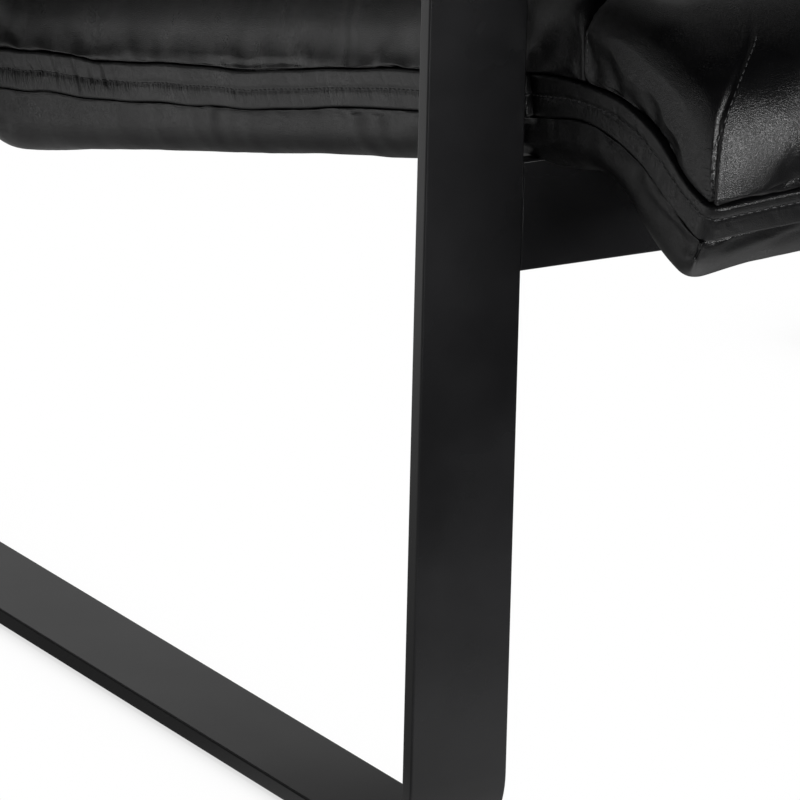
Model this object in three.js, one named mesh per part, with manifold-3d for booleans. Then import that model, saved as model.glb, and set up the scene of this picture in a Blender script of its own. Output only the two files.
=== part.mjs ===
// A lounge chair: a padded leather sling, bent into a seat and a back, hung between two closed loops
// of flat steel bar. Millimetres, +Z up, the sitter faces -Y. Sizes fore and aft are measured from the
// front face of the front posts, and the finished chair is moved so that the origin lies on the floor
// under the middle of its outer box.
import * as THREE from 'three';
import { mergeVertices } from 'three/addons/utils/BufferGeometryUtils.js';
import Module from 'manifold-3d';

const wasm = await Module();
wasm.setup();

const degrees = Math.PI / 180;
const across = new THREE.Vector3(1, 0, 0);
const foreAndAft = new THREE.Vector3(0, 1, 0);
const upwards = new THREE.Vector3(0, 0, 1);

// Steel loops and rails
const barWidth = 50;
const barThickness = 8;
const barEase = 0.8; // chamfer along the bar's edges
const bendRadius = 42; // outside of each bend
const sideDepth = 620; // front face of the front post to back face of the rear post
const sideHeight = 566; // underside of the runner to the top of the arm
const sideSpacing = 584; // clear width between the loops
const railBedding = 6; // how far a cross rail beds into the sling's underside

// Floor glides
const glideDiameter = 26;
const glideHeight = 2;
const glideChamfer = 0.5;
const glideSetback = 34; // from the end of a bend to the middle of a glide

// Centre line of the sling, from its front edge to its top edge
const noseOverhang = 142; // front edge ahead of the front posts
const noseHeight = 333; // floor to the middle of the front band
const noseLength = 49;
const noseAngle = 25 * degrees;
const noseRadius = 115;
const seatLength = 497;
const seatAngle = -12.2 * degrees;
const creaseRadius = 120;
const backLength = 400;
const backAngle = 70 * degrees;

// Leather pads and bands
const padSideGap = 2; // between the sling and each loop
const bandHeight = 19;
const bandThickness = 5;
const bandCorner = 10;
const bandSwell = 1.6; // how far the band's two rolls stand out from its top and bottom seams
const bandCrease = 1.3; // and from its centre seam
const upperWall = 18;
const upperShoulder = 23;
const upperReach = 40; // how far an upper pad rounds over from its front or top edge
const upperCrown = 10;
const lowerWall = 8;
const lowerShoulder = 15;
const seamTuck = 2; // how far a pad is drawn in where it meets the band
const grooveDepth = 5; // of a cross seam
const grooveWidth = 9;
const rollSeamSetback = 106; // front edge to the cross seam behind the front roll

// Inner frame and webbing
const innerTubeWidth = 25;
const innerTubeWall = 1.6;
const strapThickness = 1;
const strapWidth = 50;
const seatStraps = 5;
const backStraps = 4;
const strapEndSetback = 3; // strap end to the outside of an inner rail

// Tabs, sleeves, bolts and washers
const tabWidth = 40;
const tabLength = 40;
const tabThickness = 5;
const tabSpacing = 360;
const boltDiameter = 8;
const boltHeadDiameter = 14;
const boltHeadHeight = 4.4;
const boltHeadFlat = 8; // diameter of the flat around the socket
const boltHeadRound = 12.4; // diameter half way up the head's dome
const boltSocketAcross = 5;
const boltSocketDepth = 2.6;
const boltEndGap = 4; // bolt end to the far end of its sleeve
const washerDiameter = 18;
const washerThickness = 1.6;
const sleeveDiameter = 18;
const holePlay = 0.3; // around a bolt, and around a sleeve in its pad

// Clearances
const seatGap = 0.25; // between pieces that touch
const seamGap = 0.3; // between leather pieces that are sewn together

// Mesh fineness
const bendSegments = 6;
const roundSegments = 16;
const arcStep = 6 * degrees;
const straightStep = 70;
const shoulderSteps = 3;
const cornerSteps = 4;
const upperColumns = 6;
const lowerColumns = 2;

const padHalfWidth = sideSpacing / 2 - padSideGap;
const padBase = bandHeight / 2 + seamGap;
const lowerFace = padBase + lowerWall + lowerShoulder;
const innerTubeHeight = bandHeight - 2 * (strapThickness + 2 * seatGap);
const railOutside = padHalfWidth - bandThickness - seamGap;

// Colours, roughness and metalness
const finishes = {
  framePaint: { color: 0x232325, roughness: 0.42, metalness: 0.3 },
  leather: { color: 0x19191b, roughness: 0.38, metalness: 0 },
  innerSteel: { color: 0x55585c, roughness: 0.5, metalness: 0.8 },
  fastener: { color: 0x8d9094, roughness: 0.35, metalness: 1 },
  webbing: { color: 0x3a3734, roughness: 0.9, metalness: 0 },
  glidePlastic: { color: 0x141414, roughness: 0.6, metalness: 0 },
};

const chair = new THREE.Group();

function addPiece(name, geometry, finish, parent = chair) {
  const mesh = new THREE.Mesh(geometry, new THREE.MeshStandardMaterial(finishes[finish]));
  mesh.name = name;
  parent.add(mesh);
  return mesh;
}

// The sling's centre line: straight and round stretches, each tangent to the last
class CentreLine {
  constructor(start, angle, stretches) {
    this.parts = [];
    this.length = 0;
    let [y, z] = start;
    for (const { length, turn = 0 } of stretches) {
      this.parts.push({ from: this.length, y, z, angle, length, turn });
      this.length += length;
      ({ y, z, angle } = this.at(this.length));
    }
  }

  at(s) {
    const part = this.parts.findLast((p) => s >= p.from) ?? this.parts[0];
    const run = s - part.from;
    if (part.turn === 0) {
      const y = part.y + Math.cos(part.angle) * run;
      const z = part.z + Math.sin(part.angle) * run;
      return { y, z, angle: part.angle };
    }
    const bend = part.turn / part.length;
    const angle = part.angle + bend * run;
    const y = part.y + (Math.sin(angle) - Math.sin(part.angle)) / bend;
    const z = part.z - (Math.cos(angle) - Math.cos(part.angle)) / bend;
    return { y, z, angle };
  }

  // The point at s along the line, x across it and n above it, where above is the sitter's side
  point(s, x, n) {
    const { y, z, angle } = this.at(s);
    return new THREE.Vector3(x, y - Math.sin(angle) * n, z + Math.cos(angle) * n);
  }
}

const arc = (radius, turn) => ({ length: radius * Math.abs(turn), turn });
const line = new CentreLine([-noseOverhang, noseHeight], noseAngle, [
  { length: noseLength },
  arc(noseRadius, seatAngle - noseAngle),
  { length: seatLength },
  arc(creaseRadius, backAngle - seatAngle),
  { length: backLength },
]);
const [, , seatRun, creaseBend, backRun] = line.parts;
const creaseSeam = creaseBend.from + creaseBend.length / 2;

// Stations that every piece along the sling shares, so that their facets stay parallel
const sharedStations = line.parts.flatMap(({ from, length, turn }) => {
  const steps = Math.ceil(turn === 0 ? length / straightStep : Math.abs(turn) / arcStep / 2) * 2;
  return Array.from({ length: steps }, (_, i) => from + (length * i) / steps);
});

function stationsBetween(from, to) {
  const margin = 1;
  return [from, ...sharedStations.filter((s) => s > from + margin && s < to - margin), to];
}

// The station where a rising function of s reaches zero
function solveStation(height, low = 0, high = line.length) {
  for (let i = 0; i < 60; i += 1) {
    const middle = (low + high) / 2;
    if (height(middle) < 0) {
      low = middle;
    } else {
      high = middle;
    }
  }
  return (low + high) / 2;
}

// A closed solid from points and triangles, turned so that its faces point out
function closedSolid(points, triangles) {
  const volume = triangles.reduce((sum, [a, b, c]) => {
    const cross = new THREE.Vector3().crossVectors(points[b], points[c]);
    return sum + points[a].dot(cross);
  }, 0);
  const outward = volume > 0 ? triangles : triangles.map(([a, b, c]) => [a, c, b]);
  const geometry = new THREE.BufferGeometry().setFromPoints(points);
  geometry.setIndex(outward.flat());
  geometry.computeVertexNormals();
  return geometry;
}

// Rings of equal length joined into a bar, with end faces between their outer and inner halves
function loft(rings) {
  const size = rings[0].length;
  const half = size / 2;
  const triangles = [];
  const quad = (a, b, c, d) => triangles.push([a, b, c], [a, c, d]);
  for (let i = 0; i + 1 < rings.length; i += 1) {
    for (let k = 0; k < size; k += 1) {
      const next = (k + 1) % size;
      quad(i * size + k, i * size + next, (i + 1) * size + next, (i + 1) * size + k);
    }
  }
  const last = (rings.length - 1) * size;
  for (let k = 0; k + 1 < half; k += 1) {
    quad(k, size - 1 - k, size - 2 - k, k + 1);
    quad(last + k, last + k + 1, last + size - 2 - k, last + size - 1 - k);
  }
  return closedSolid(rings.flat(), triangles);
}

// A bar with a rectangular section that follows the sling
function slingBar(from, to, [x0, x1], [n0, n1]) {
  const corners = [[x0, n0], [x0, n1], [x1, n1], [x1, n0]];
  return loft(stationsBetween(from, to).map((s) => corners.map(([x, n]) => line.point(s, x, n))));
}

// Booleans between closed geometries
function toSolid(geometry) {
  const bare = geometry.clone();
  bare.deleteAttribute('normal');
  bare.deleteAttribute('uv');
  const merged = mergeVertices(bare);
  const triVerts = new Uint32Array(merged.index.array);
  const vertProperties = new Float32Array(merged.attributes.position.array);
  return new wasm.Manifold(new wasm.Mesh({ numProp: 3, vertProperties, triVerts }));
}

function cut(geometry, ...tools) {
  const solid = tools.reduce((rest, tool) => rest.subtract(toSolid(tool)), toSolid(geometry));
  const { vertProperties, triVerts } = solid.getMesh();
  const result = new THREE.BufferGeometry();
  result.setAttribute('position', new THREE.BufferAttribute(vertProperties, 3));
  result.setIndex(new THREE.BufferAttribute(triVerts, 1));
  result.computeVertexNormals();
  return result;
}

// Outlines for extrusions
function ring(outer, bore) {
  const shape = new THREE.Shape().absarc(0, 0, outer / 2, 0, 2 * Math.PI);
  shape.holes.push(new THREE.Path().absarc(0, 0, bore / 2, 0, 2 * Math.PI));
  return shape;
}

function rectangle(width, height, chamfer = 0, Kind = THREE.Shape) {
  const corners = [[-1, -1, 0, 1], [-1, -1, 1, 0], [1, -1, -1, 0], [1, -1, 0, 1]];
  const half = corners.map(([u, v, alongU, alongV]) => {
    return new THREE.Vector2((u * width) / 2 + alongU * chamfer, (v * height) / 2 + alongV * chamfer);
  });
  const outline = [...half, ...half.map((point) => point.clone().negate())];
  return new Kind(outline.filter((point, i) => chamfer > 0 || i % 2 === 0));
}

function roundedRectangle(width, height, radius, Kind) {
  const [u, v] = [width / 2 - radius, height / 2 - radius];
  return new Kind()
    .absarc(u, v, radius, 0, Math.PI / 2)
    .absarc(-u, v, radius, Math.PI / 2, Math.PI)
    .absarc(-u, -v, radius, Math.PI, 1.5 * Math.PI)
    .absarc(u, -v, radius, 1.5 * Math.PI, 2 * Math.PI);
}

// An outline drawn fore-and-aft and upwards, made length long across the chair about its middle
function extrudeAcross(shape, length, bevel = 0) {
  const geometry = new THREE.ExtrudeGeometry(shape, {
    depth: length - 2 * bevel,
    bevelEnabled: bevel > 0,
    bevelThickness: bevel,
    bevelSize: bevel,
    bevelOffset: -bevel,
    bevelSegments: 1,
    curveSegments: bendSegments,
  });
  geometry.translate(0, 0, bevel - length / 2);
  return geometry.applyMatrix4(new THREE.Matrix4().makeBasis(foreAndAft, upwards, across));
}

// Side loops of flat bar, with their floor glides
function addSides() {
  const loop = roundedRectangle(sideDepth, sideHeight, bendRadius, THREE.Shape);
  const inside = [sideDepth - 2 * barThickness, sideHeight - 2 * barThickness, bendRadius - barThickness];
  loop.holes.push(roundedRectangle(...inside, THREE.Path));
  const runnerX = (sideSpacing + barWidth) / 2;
  const glideRun = sideDepth / 2 - bendRadius - glideSetback;
  const radius = glideDiameter / 2;
  const glideProfile = [
    [0, 0],
    [radius - glideChamfer, 0],
    [radius, glideChamfer],
    [radius, glideHeight],
    [0, glideHeight],
  ].map(([r, z]) => new THREE.Vector2(r, z));
  for (const [side, sign] of [['left', -1], ['right', 1]]) {
    const frame = addPiece(`${side}_side_frame`, extrudeAcross(loop, barWidth, barEase), 'framePaint');
    frame.position.set(sign * runnerX, sideDepth / 2, glideHeight + sideHeight / 2);
    for (const [end, direction] of [['front', -1], ['rear', 1]]) {
      const glide = new THREE.LatheGeometry(glideProfile, roundSegments).rotateX(Math.PI / 2);
      const mesh = addPiece(`${end}_${side}_glide`, glide, 'glidePlastic');
      mesh.position.set(sign * runnerX, sideDepth / 2 + direction * glideRun, 0);
    }
  }
}

// Height of the sling's underside at a place fore-and-aft
function undersideHeight(y) {
  const s = solveStation((at) => line.point(at, 0, -lowerFace).y - y);
  return line.point(s, 0, -lowerFace).z;
}

// Cross rails between the posts, on edge, each with its top bedded into the sling's underside
function railPlace(name, front) {
  const top = Math.min(undersideHeight(front), undersideHeight(front + barThickness)) + railBedding;
  return { name, y: front + barThickness / 2, z: top - barWidth / 2 };
}

const crossRails = [
  railPlace('front_cross_rail', 0),
  railPlace('rear_cross_rail', sideDepth - barThickness),
];

function addCrossRails() {
  for (const { name, y, z } of crossRails) {
    const shape = rectangle(barThickness, barWidth, barEase);
    addPiece(name, extrudeAcross(shape, sideSpacing - 2 * seatGap), 'framePaint').position.set(0, y, z);
  }
}

// The groove that a bedded rail presses into the sling
function railBed({ y, z }) {
  const shape = rectangle(barThickness + 2 * seatGap, barWidth + 2 * seatGap);
  return extrudeAcross(shape, sideSpacing).translate(0, y, z);
}

// Stations and columns of a pad's grid. Each has an edge weight that runs from 1 at a rounded edge to
// 0 where its shoulder ends, and a station at a cross seam has a groove weight instead.
const edgeWeights = Array.from({ length: shoulderSteps + 1 }, (_, k) => {
  return Math.cos((k * Math.PI) / 2 / shoulderSteps);
});

function padStations({ from, to, roundStart, roundEnd, reach }) {
  const plain = (inner) => ({ inner, weight: 0, way: 0, groove: 0 });
  const edge = (place, way, round) => {
    if (!round) {
      return [{ ...plain(place), groove: 1 }, plain(place - way * grooveWidth)];
    }
    return edgeWeights.map((weight) => ({ ...plain(place - way * reach), weight, way }));
  };
  const start = edge(from, -1, roundStart);
  const end = edge(to, 1, roundEnd);
  const middle = stationsBetween(start.at(-1).inner, end.at(-1).inner).slice(1, -1);
  return [...start, ...middle.map(plain), ...end.reverse()];
}

function padAcross({ shoulder, columns }) {
  const inner = padHalfWidth - shoulder;
  const edge = (way) => edgeWeights.slice(0, -1).map((weight) => ({ inner: way * inner, weight, way }));
  const flat = Array.from({ length: columns + 1 }, (_, k) => {
    return { inner: inner * ((2 * k) / columns - 1), weight: 0, way: 0 };
  });
  return [...edge(-1), ...flat, ...edge(1).reverse()];
}

// A pad on one face of the sling's middle layer: flat where it meets that layer, drawn in at the
// seam, with upright walls, rounded shoulders and a crown. side is 1 for upper pads, -1 for lower.
function padSolid(pad) {
  const { side, wall, shoulder, reach, crown } = pad;
  const rows = padStations(pad);
  const columns = padAcross(pad);
  const inner = padHalfWidth - shoulder;
  const outer = [];
  const base = [];
  const belly = new Map();
  rows.forEach((row, i) => columns.forEach((column, j) => {
    const along = row.weight * Math.sqrt(1 - column.weight ** 2 / 2);
    const aside = column.weight * Math.sqrt(1 - row.weight ** 2 / 2);
    const s = row.inner + row.way * reach * along;
    const x = column.inner + column.way * (shoulder * aside - row.groove * seamTuck * column.weight);
    const round = Math.sqrt(Math.max(0, 1 - along ** 2 - aside ** 2));
    const bow = (1 - Math.min(1, Math.abs(column.inner) / inner) ** 2) * Math.sqrt(1 - row.weight ** 2);
    const height = padBase + wall + shoulder * round + crown * bow - row.groove * grooveDepth;
    outer.push(line.point(s, x, side * height));
    const tuckedS = s - row.way * along * seamTuck;
    const tuckedX = x - column.way * aside * seamTuck;
    base.push(line.point(tuckedS, tuckedX, side * padBase));
    belly.set(i * columns.length + j, line.point(s, x, side * (padBase + wall / 2)));
  }));
  const [lastRow, lastColumn] = [rows.length - 1, columns.length - 1];
  const at = (i, j) => i * columns.length + j;
  const rim = [];
  for (let j = 0; j < lastColumn; j += 1) rim.push(at(0, j));
  for (let i = 0; i < lastRow; i += 1) rim.push(at(i, lastColumn));
  for (let j = lastColumn; j > 0; j -= 1) rim.push(at(lastRow, j));
  for (let i = lastRow; i > 0; i -= 1) rim.push(at(i, 0));
  const count = outer.length;
  const points = [...outer, ...base, ...rim.map((index) => belly.get(index))];
  const triangles = [];
  const quad = (a, b, c, d) => triangles.push([a, b, c], [a, c, d]);
  for (let i = 0; i < lastRow; i += 1) {
    for (let j = 0; j < lastColumn; j += 1) {
      const corners = [at(i, j), at(i, j + 1), at(i + 1, j + 1), at(i + 1, j)];
      quad(...corners);
      quad(...corners.map((index) => index + count).reverse());
    }
  }
  rim.forEach((index, k) => {
    const next = (k + 1) % rim.length;
    const [low, high] = [2 * count + k, 2 * count + next];
    quad(index + count, rim[next] + count, high, low);
    quad(low, high, rim[next], index);
  });
  return closedSolid(points, triangles);
}

const halfSeam = seamGap / 2;
const upperPad = {
  side: 1,
  wall: upperWall,
  shoulder: upperShoulder,
  reach: upperReach,
  crown: upperCrown,
  columns: upperColumns,
};
const lowerPad = {
  side: -1,
  wall: lowerWall,
  shoulder: lowerShoulder,
  reach: lowerShoulder,
  crown: 0,
  columns: lowerColumns,
};
const seatSpan = { from: 0, to: creaseSeam - halfSeam, roundStart: true, roundEnd: false };
const backSpan = { from: creaseSeam + halfSeam, to: line.length, roundStart: false, roundEnd: true };
const rollSpan = { from: 0, to: rollSeamSetback - halfSeam, roundStart: true, roundEnd: false };
const mainSpan = { from: rollSeamSetback + halfSeam, to: seatSpan.to, roundStart: false, roundEnd: false };

function addUpperPads() {
  addPiece('front_roll_pad', padSolid({ ...upperPad, ...rollSpan }), 'leather');
  addPiece('seat_pad', padSolid({ ...upperPad, ...mainSpan }), 'leather');
  addPiece('back_pad', padSolid({ ...upperPad, ...backSpan }), 'leather');
}

function addLowerPads(tabs) {
  const bores = tabs.map(({ s, x }) => {
    const { y, z, angle } = line.at(s);
    const radius = sleeveDiameter / 2 + holePlay;
    const tool = new THREE.CylinderGeometry(radius, radius, 4 * lowerFace, roundSegments);
    return tool.rotateX(Math.PI / 2 + angle).translate(x, y, z);
  });
  const cuts = [...bores, ...crossRails.map(railBed)];
  addPiece('seat_underside_pad', cut(padSolid({ ...lowerPad, ...seatSpan }), ...cuts), 'leather');
  addPiece('back_underside_pad', cut(padSolid({ ...lowerPad, ...backSpan }), ...cuts), 'leather');
}

// The band between upper and lower pads: two soft rolls either side of a centre seam, drawn in at
// the top and bottom seams. Each outline point has a place on the sling and an outward direction.
function bandSolid(outline) {
  const face = [[bandSwell, -1], [0, -0.5], [bandCrease, 0], [0, 0.5], [bandSwell, 1]];
  return loft(outline.map(({ s, x, outS, outX }) => {
    const place = (inset, level) => line.point(s - outS * inset, x - outX * inset, (level * bandHeight) / 2);
    const outside = face.map(([inset, level]) => place(inset, level));
    const inside = face.map(([, level]) => place(bandThickness, level)).reverse();
    return [...outside, ...inside];
  }));
}

function addBands() {
  const quarter = Array.from({ length: cornerSteps + 1 }, (_, k) => (k * Math.PI) / 2 / cornerSteps);
  const endOutline = (centreS, way) => [-1, 1].flatMap((sign) => {
    return (sign < 0 ? quarter.toReversed() : quarter).map((sweep) => {
      const [outS, outX] = [way * Math.cos(sweep), sign * Math.sin(sweep)];
      const x = sign * (padHalfWidth - bandCorner) + bandCorner * outX;
      return { s: centreS + bandCorner * outS, x, outS, outX };
    });
  });
  addPiece('front_band', bandSolid(endOutline(bandCorner, -1)), 'leather');
  addPiece('top_band', bandSolid(endOutline(line.length - bandCorner, 1)), 'leather');
  for (const [side, sign] of [['left', -1], ['right', 1]]) {
    const along = (from, to) => stationsBetween(from, to).map((s) => {
      return { s, x: sign * padHalfWidth, outS: 0, outX: sign };
    });
    const seat = along(bandCorner + seamGap, creaseSeam - halfSeam);
    const back = along(creaseSeam + halfSeam, line.length - bandCorner - seamGap);
    addPiece(`${side}_seat_band`, bandSolid(seat), 'leather');
    addPiece(`${side}_back_band`, bandSolid(back), 'leather');
  }
}

// Places of the four tabs: each is a flat plate under the sling whose end meets its cross rail
function tabPlaces() {
  const depth = lowerFace + seatGap + tabThickness;
  const endY = (s, way) => {
    const { y, angle } = line.at(s);
    return y + Math.sin(angle) * depth + (way * Math.cos(angle) * tabLength) / 2;
  };
  const front = solveStation((s) => endY(s, -1) - (barThickness + seatGap));
  const rear = solveStation((s) => endY(s, 1) - (sideDepth - barThickness - seatGap));
  return [['front', front], ['rear', rear]].flatMap(([end, s]) => {
    return [['left', -1], ['right', 1]].map(([side, sign]) => ({ end, side, s, x: (sign * tabSpacing) / 2 }));
  });
}

// A group whose Y runs along the sling and whose Z points to the sitter
function slingFrame(s, x) {
  const { y, z, angle } = line.at(s);
  const group = new THREE.Group();
  group.position.set(x, y, z);
  group.rotation.x = angle;
  chair.add(group);
  return group;
}

function plate(shape, thickness, bottom) {
  const options = { depth: thickness, bevelEnabled: false, curveSegments: roundSegments / 2 };
  return new THREE.ExtrudeGeometry(shape, options).translate(0, 0, bottom);
}

// Button-head bolt with a hexagon socket, its head's seat at z = 0 and its shank upwards
function boltGeometry(length) {
  const [shank, head] = [boltDiameter / 2, boltHeadDiameter / 2];
  const profile = [
    [0, -boltHeadHeight],
    [boltHeadFlat / 2, -boltHeadHeight],
    [boltHeadRound / 2, -boltHeadHeight / 2],
    [head, 0],
    [shank, 0],
    [shank, length],
    [0, length],
  ].map(([r, z]) => new THREE.Vector2(r, z));
  const body = new THREE.LatheGeometry(profile, roundSegments).rotateX(Math.PI / 2);
  const corner = boltSocketAcross / Math.sqrt(3);
  const socket = new THREE.CylinderGeometry(corner, corner, 2 * boltSocketDepth, 6);
  return cut(body, socket.rotateX(Math.PI / 2).translate(0, 0, -boltHeadHeight));
}

// Tabs on the rails, and the sleeves, bolts and washers that hold the inner frame to them
function addFixings(tabs) {
  const bore = boltDiameter + 2 * holePlay;
  const tabTop = -lowerFace - seatGap;
  const tabBottom = tabTop - tabThickness;
  const sleeveBottom = tabTop + seatGap;
  const sleeveTop = -innerTubeHeight / 2 - seatGap;
  const washerTop = tabBottom - seatGap;
  const headSeat = washerTop - washerThickness - seatGap;
  const tabShape = rectangle(tabWidth, tabLength);
  tabShape.holes.push(new THREE.Path().absarc(0, 0, bore / 2, 0, 2 * Math.PI));
  for (const { end, side, s, x } of tabs) {
    const place = slingFrame(s, x);
    const name = `${end}_${side}`;
    addPiece(`${name}_tab`, plate(tabShape, tabThickness, tabBottom), 'framePaint', place);
    const sleeve = plate(ring(sleeveDiameter, bore), sleeveTop - sleeveBottom, sleeveBottom);
    addPiece(`${name}_sleeve`, sleeve, 'innerSteel', place);
    const washer = plate(ring(washerDiameter, bore), washerThickness, washerTop - washerThickness);
    addPiece(`${name}_washer`, washer, 'fastener', place);
    const bolt = boltGeometry(sleeveTop - boltEndGap - headSeat);
    addPiece(`${name}_bolt`, bolt, 'fastener', place).position.z = headSeat;
  }
}

// Inner frame: two bent rails and the cross tubes between them
function addInnerFrame(tabs) {
  const start = bandCorner + seamGap;
  const end = line.length - start;
  const half = innerTubeHeight / 2;
  const railInside = railOutside - innerTubeWidth;
  addPiece('left_inner_rail', slingBar(start, end, [-railOutside, -railInside], [-half, half]), 'innerSteel');
  addPiece('right_inner_rail', slingBar(start, end, [railInside, railOutside], [-half, half]), 'innerSteel');
  const tube = rectangle(innerTubeWidth, innerTubeHeight);
  const bore = [innerTubeWidth - 2 * innerTubeWall, innerTubeHeight - 2 * innerTubeWall];
  tube.holes.push(rectangle(...bore, 0, THREE.Path));
  const frontTab = tabs.find((tab) => tab.end === 'front').s;
  const rearTab = tabs.find((tab) => tab.end === 'rear').s;
  const tubes = {
    nose_tube: start + innerTubeWidth / 2,
    front_mount_tube: frontTab,
    mid_seat_tube: (frontTab + rearTab) / 2,
    rear_mount_tube: rearTab,
    mid_back_tube: (rearTab + end) / 2,
    top_tube: end - innerTubeWidth / 2,
  };
  for (const [name, s] of Object.entries(tubes)) {
    const length = 2 * (railInside - seatGap);
    addPiece(name, extrudeAcross(tube, length), 'innerSteel', slingFrame(s, 0));
  }
}

// Webbing straps, laid across the inner rails under the upper pads
function addStraps() {
  const bottom = innerTubeHeight / 2 + seatGap;
  const reach = railOutside - strapEndSetback;
  const spread = (kind, count, from, to) => {
    for (let i = 0; i < count; i += 1) {
      const middle = from + ((i + 0.5) * (to - from)) / count;
      const levels = [bottom, bottom + strapThickness];
      const strap = slingBar(middle - strapWidth / 2, middle + strapWidth / 2, [-reach, reach], levels);
      addPiece(`${kind}_strap_${i + 1}`, strap, 'webbing');
    }
  };
  spread('seat', seatStraps, seatRun.from, seatRun.from + seatRun.length);
  spread('back', backStraps, backRun.from, backRun.from + backRun.length);
}

const tabs = tabPlaces();
addSides();
addCrossRails();
addUpperPads();
addLowerPads(tabs);
addBands();
addInnerFrame(tabs);
addStraps();
addFixings(tabs);

const outerBox = new THREE.Box3().setFromObject(chair);
chair.position.y = -(outerBox.min.y + outerBox.max.y) / 2;

export default chair;
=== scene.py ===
"""Dresses a leather sling lounge chair around its packed construction.

Metres, +Z up. The sitter faces -Y, and left pieces lie at -X. A place on the sling is its distance
along the sling's centre line from the front edge, its distance across, and its height above that line.
"""

import logging
import math
from dataclasses import dataclass, field
from enum import Enum
from typing import Callable, NamedTuple, Sequence

import bmesh
import bpy
import numpy as np
from mathutils import Matrix, Vector
from mathutils.bvhtree import BVHTree


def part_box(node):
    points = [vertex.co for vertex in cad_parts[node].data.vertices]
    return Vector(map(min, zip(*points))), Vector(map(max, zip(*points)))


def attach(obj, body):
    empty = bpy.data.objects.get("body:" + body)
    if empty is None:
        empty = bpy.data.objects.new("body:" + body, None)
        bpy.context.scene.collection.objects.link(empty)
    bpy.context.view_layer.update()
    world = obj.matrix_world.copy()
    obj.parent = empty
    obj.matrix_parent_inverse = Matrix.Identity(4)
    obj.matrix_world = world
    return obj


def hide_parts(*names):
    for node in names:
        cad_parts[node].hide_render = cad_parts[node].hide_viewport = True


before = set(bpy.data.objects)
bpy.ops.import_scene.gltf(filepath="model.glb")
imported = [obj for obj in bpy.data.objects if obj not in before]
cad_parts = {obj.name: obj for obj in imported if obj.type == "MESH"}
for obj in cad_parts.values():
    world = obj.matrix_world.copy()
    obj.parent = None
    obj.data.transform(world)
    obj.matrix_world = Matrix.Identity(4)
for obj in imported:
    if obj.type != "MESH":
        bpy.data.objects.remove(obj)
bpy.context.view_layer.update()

LOG = logging.getLogger("lounge_chair")
ROOT = "root"
EDGE_MARK = "edge"
SEAM_MARK = "seam"
PLACE_MARK = "place"
TINY = 1e-9

Array = np.ndarray
Colour = tuple[float, float, float, float]
Faces = list[tuple[int, ...]]
Triple = tuple[float, float, float]
Piece = bpy.types.Object
Mesh = bpy.types.Mesh
Material = bpy.types.Material
Socket = bpy.types.NodeSocket
Feed = Socket | float


class Slot(Enum):
    """Material slots of the record."""

    FRAME_PAINT = "frame_paint"
    LEATHER = "leather"
    INNER_STEEL = "inner_steel"
    FASTENER_STEEL = "fastener_steel"
    WEBBING = "webbing"
    GLIDE_PLASTIC = "glide_plastic"


class Layer(Enum):
    """The face of the sling that a pad lies on."""

    UPPER = 1
    LOWER = -1


# Meshes


def add_mesh(name: str, points: Array, faces: Sequence[Sequence[int]]) -> Piece:
    """Make a smooth mesh object at the origin.

    Args:
        name: name of the object and of its mesh.
        points: one row of coordinates for each vertex.
        faces: vertex numbers of each face.

    Returns:
        The new object, linked to the scene.
    """
    mesh = bpy.data.meshes.new(name)
    mesh.from_pydata(np.asarray(points).tolist(), [], faces)
    mesh.shade_smooth()
    piece = bpy.data.objects.new(name, mesh)
    bpy.context.scene.collection.objects.link(piece)
    return piece


def grid_faces(rows: int, columns: int) -> Faces:
    """Quads of a grid of vertices that is numbered row by row.

    Args:
        rows: how many rows of vertices.
        columns: how many vertices in a row.

    Returns:
        Vertex numbers of each quad.
    """
    corner = np.arange(rows * columns).reshape(rows, columns)
    quads = np.stack([corner[:-1, :-1], corner[:-1, 1:], corner[1:, 1:], corner[1:, :-1]], axis=-1)
    return [tuple(quad) for quad in quads.reshape(-1, 4).tolist()]


def strip_faces(first: Array, second: Array) -> Faces:
    """Quads between two closed rings of vertex numbers."""
    quads = np.stack([first, np.roll(first, -1), np.roll(second, -1), second], axis=-1)
    return [tuple(quad) for quad in quads.tolist()]


def loft_faces(count: int, rings: int) -> Faces:
    """Faces of a loft with closed ends.

    Args:
        count: vertices in each ring.
        rings: how many rings it runs through.

    Returns:
        Vertex numbers of the first cap, the strips between the rings, and the last cap.
    """
    ring = np.arange(count)
    faces: Faces = [tuple(ring[::-1].tolist())]
    for index in range(rings - 1):
        faces += strip_faces(ring + index * count, ring + (index + 1) * count)
    faces.append(tuple((ring + (rings - 1) * count).tolist()))
    return faces


def turn_outwards(piece: Piece) -> None:
    """Recalculate the normals of a closed mesh.

    Args:
        piece: its object, whose faces then point out.
    """
    shell = bmesh.new()
    shell.from_mesh(piece.data)
    bmesh.ops.recalc_face_normals(shell, faces=shell.faces)
    shell.to_mesh(piece.data)
    shell.free()


def settle(piece: Piece) -> None:
    """Turn an object's modifiers into its plain mesh.

    Args:
        piece: the object, which keeps its name and loses its modifiers.
    """
    graph = bpy.context.evaluated_depsgraph_get()
    solid = bpy.data.meshes.new_from_object(
        piece.evaluated_get(graph), preserve_all_data_layers=True, depsgraph=graph
    )
    piece.modifiers.clear()
    piece.data = solid
    solid.name = piece.name


def vectors_of(items: bpy.types.bpy_prop_collection, name: str) -> Array:
    """Read a vector from each vertex, normal or mark of a mesh.

    Args:
        items: the vertices, normals or marks.
        name: the property that holds the vector.

    Returns:
        One row for each item.
    """
    flat = np.empty(len(items) * 3)
    items.foreach_get(name, flat)
    return flat.reshape(-1, 3)


def vertices_of(mesh: Mesh) -> Array:
    """Coordinates of a mesh, one row for each vertex."""
    return vectors_of(mesh.vertices, "co")


def normals_of(mesh: Mesh) -> Array:
    """Vertex normals of a mesh, one row for each vertex."""
    return vectors_of(mesh.vertex_normals, "vector")


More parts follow.
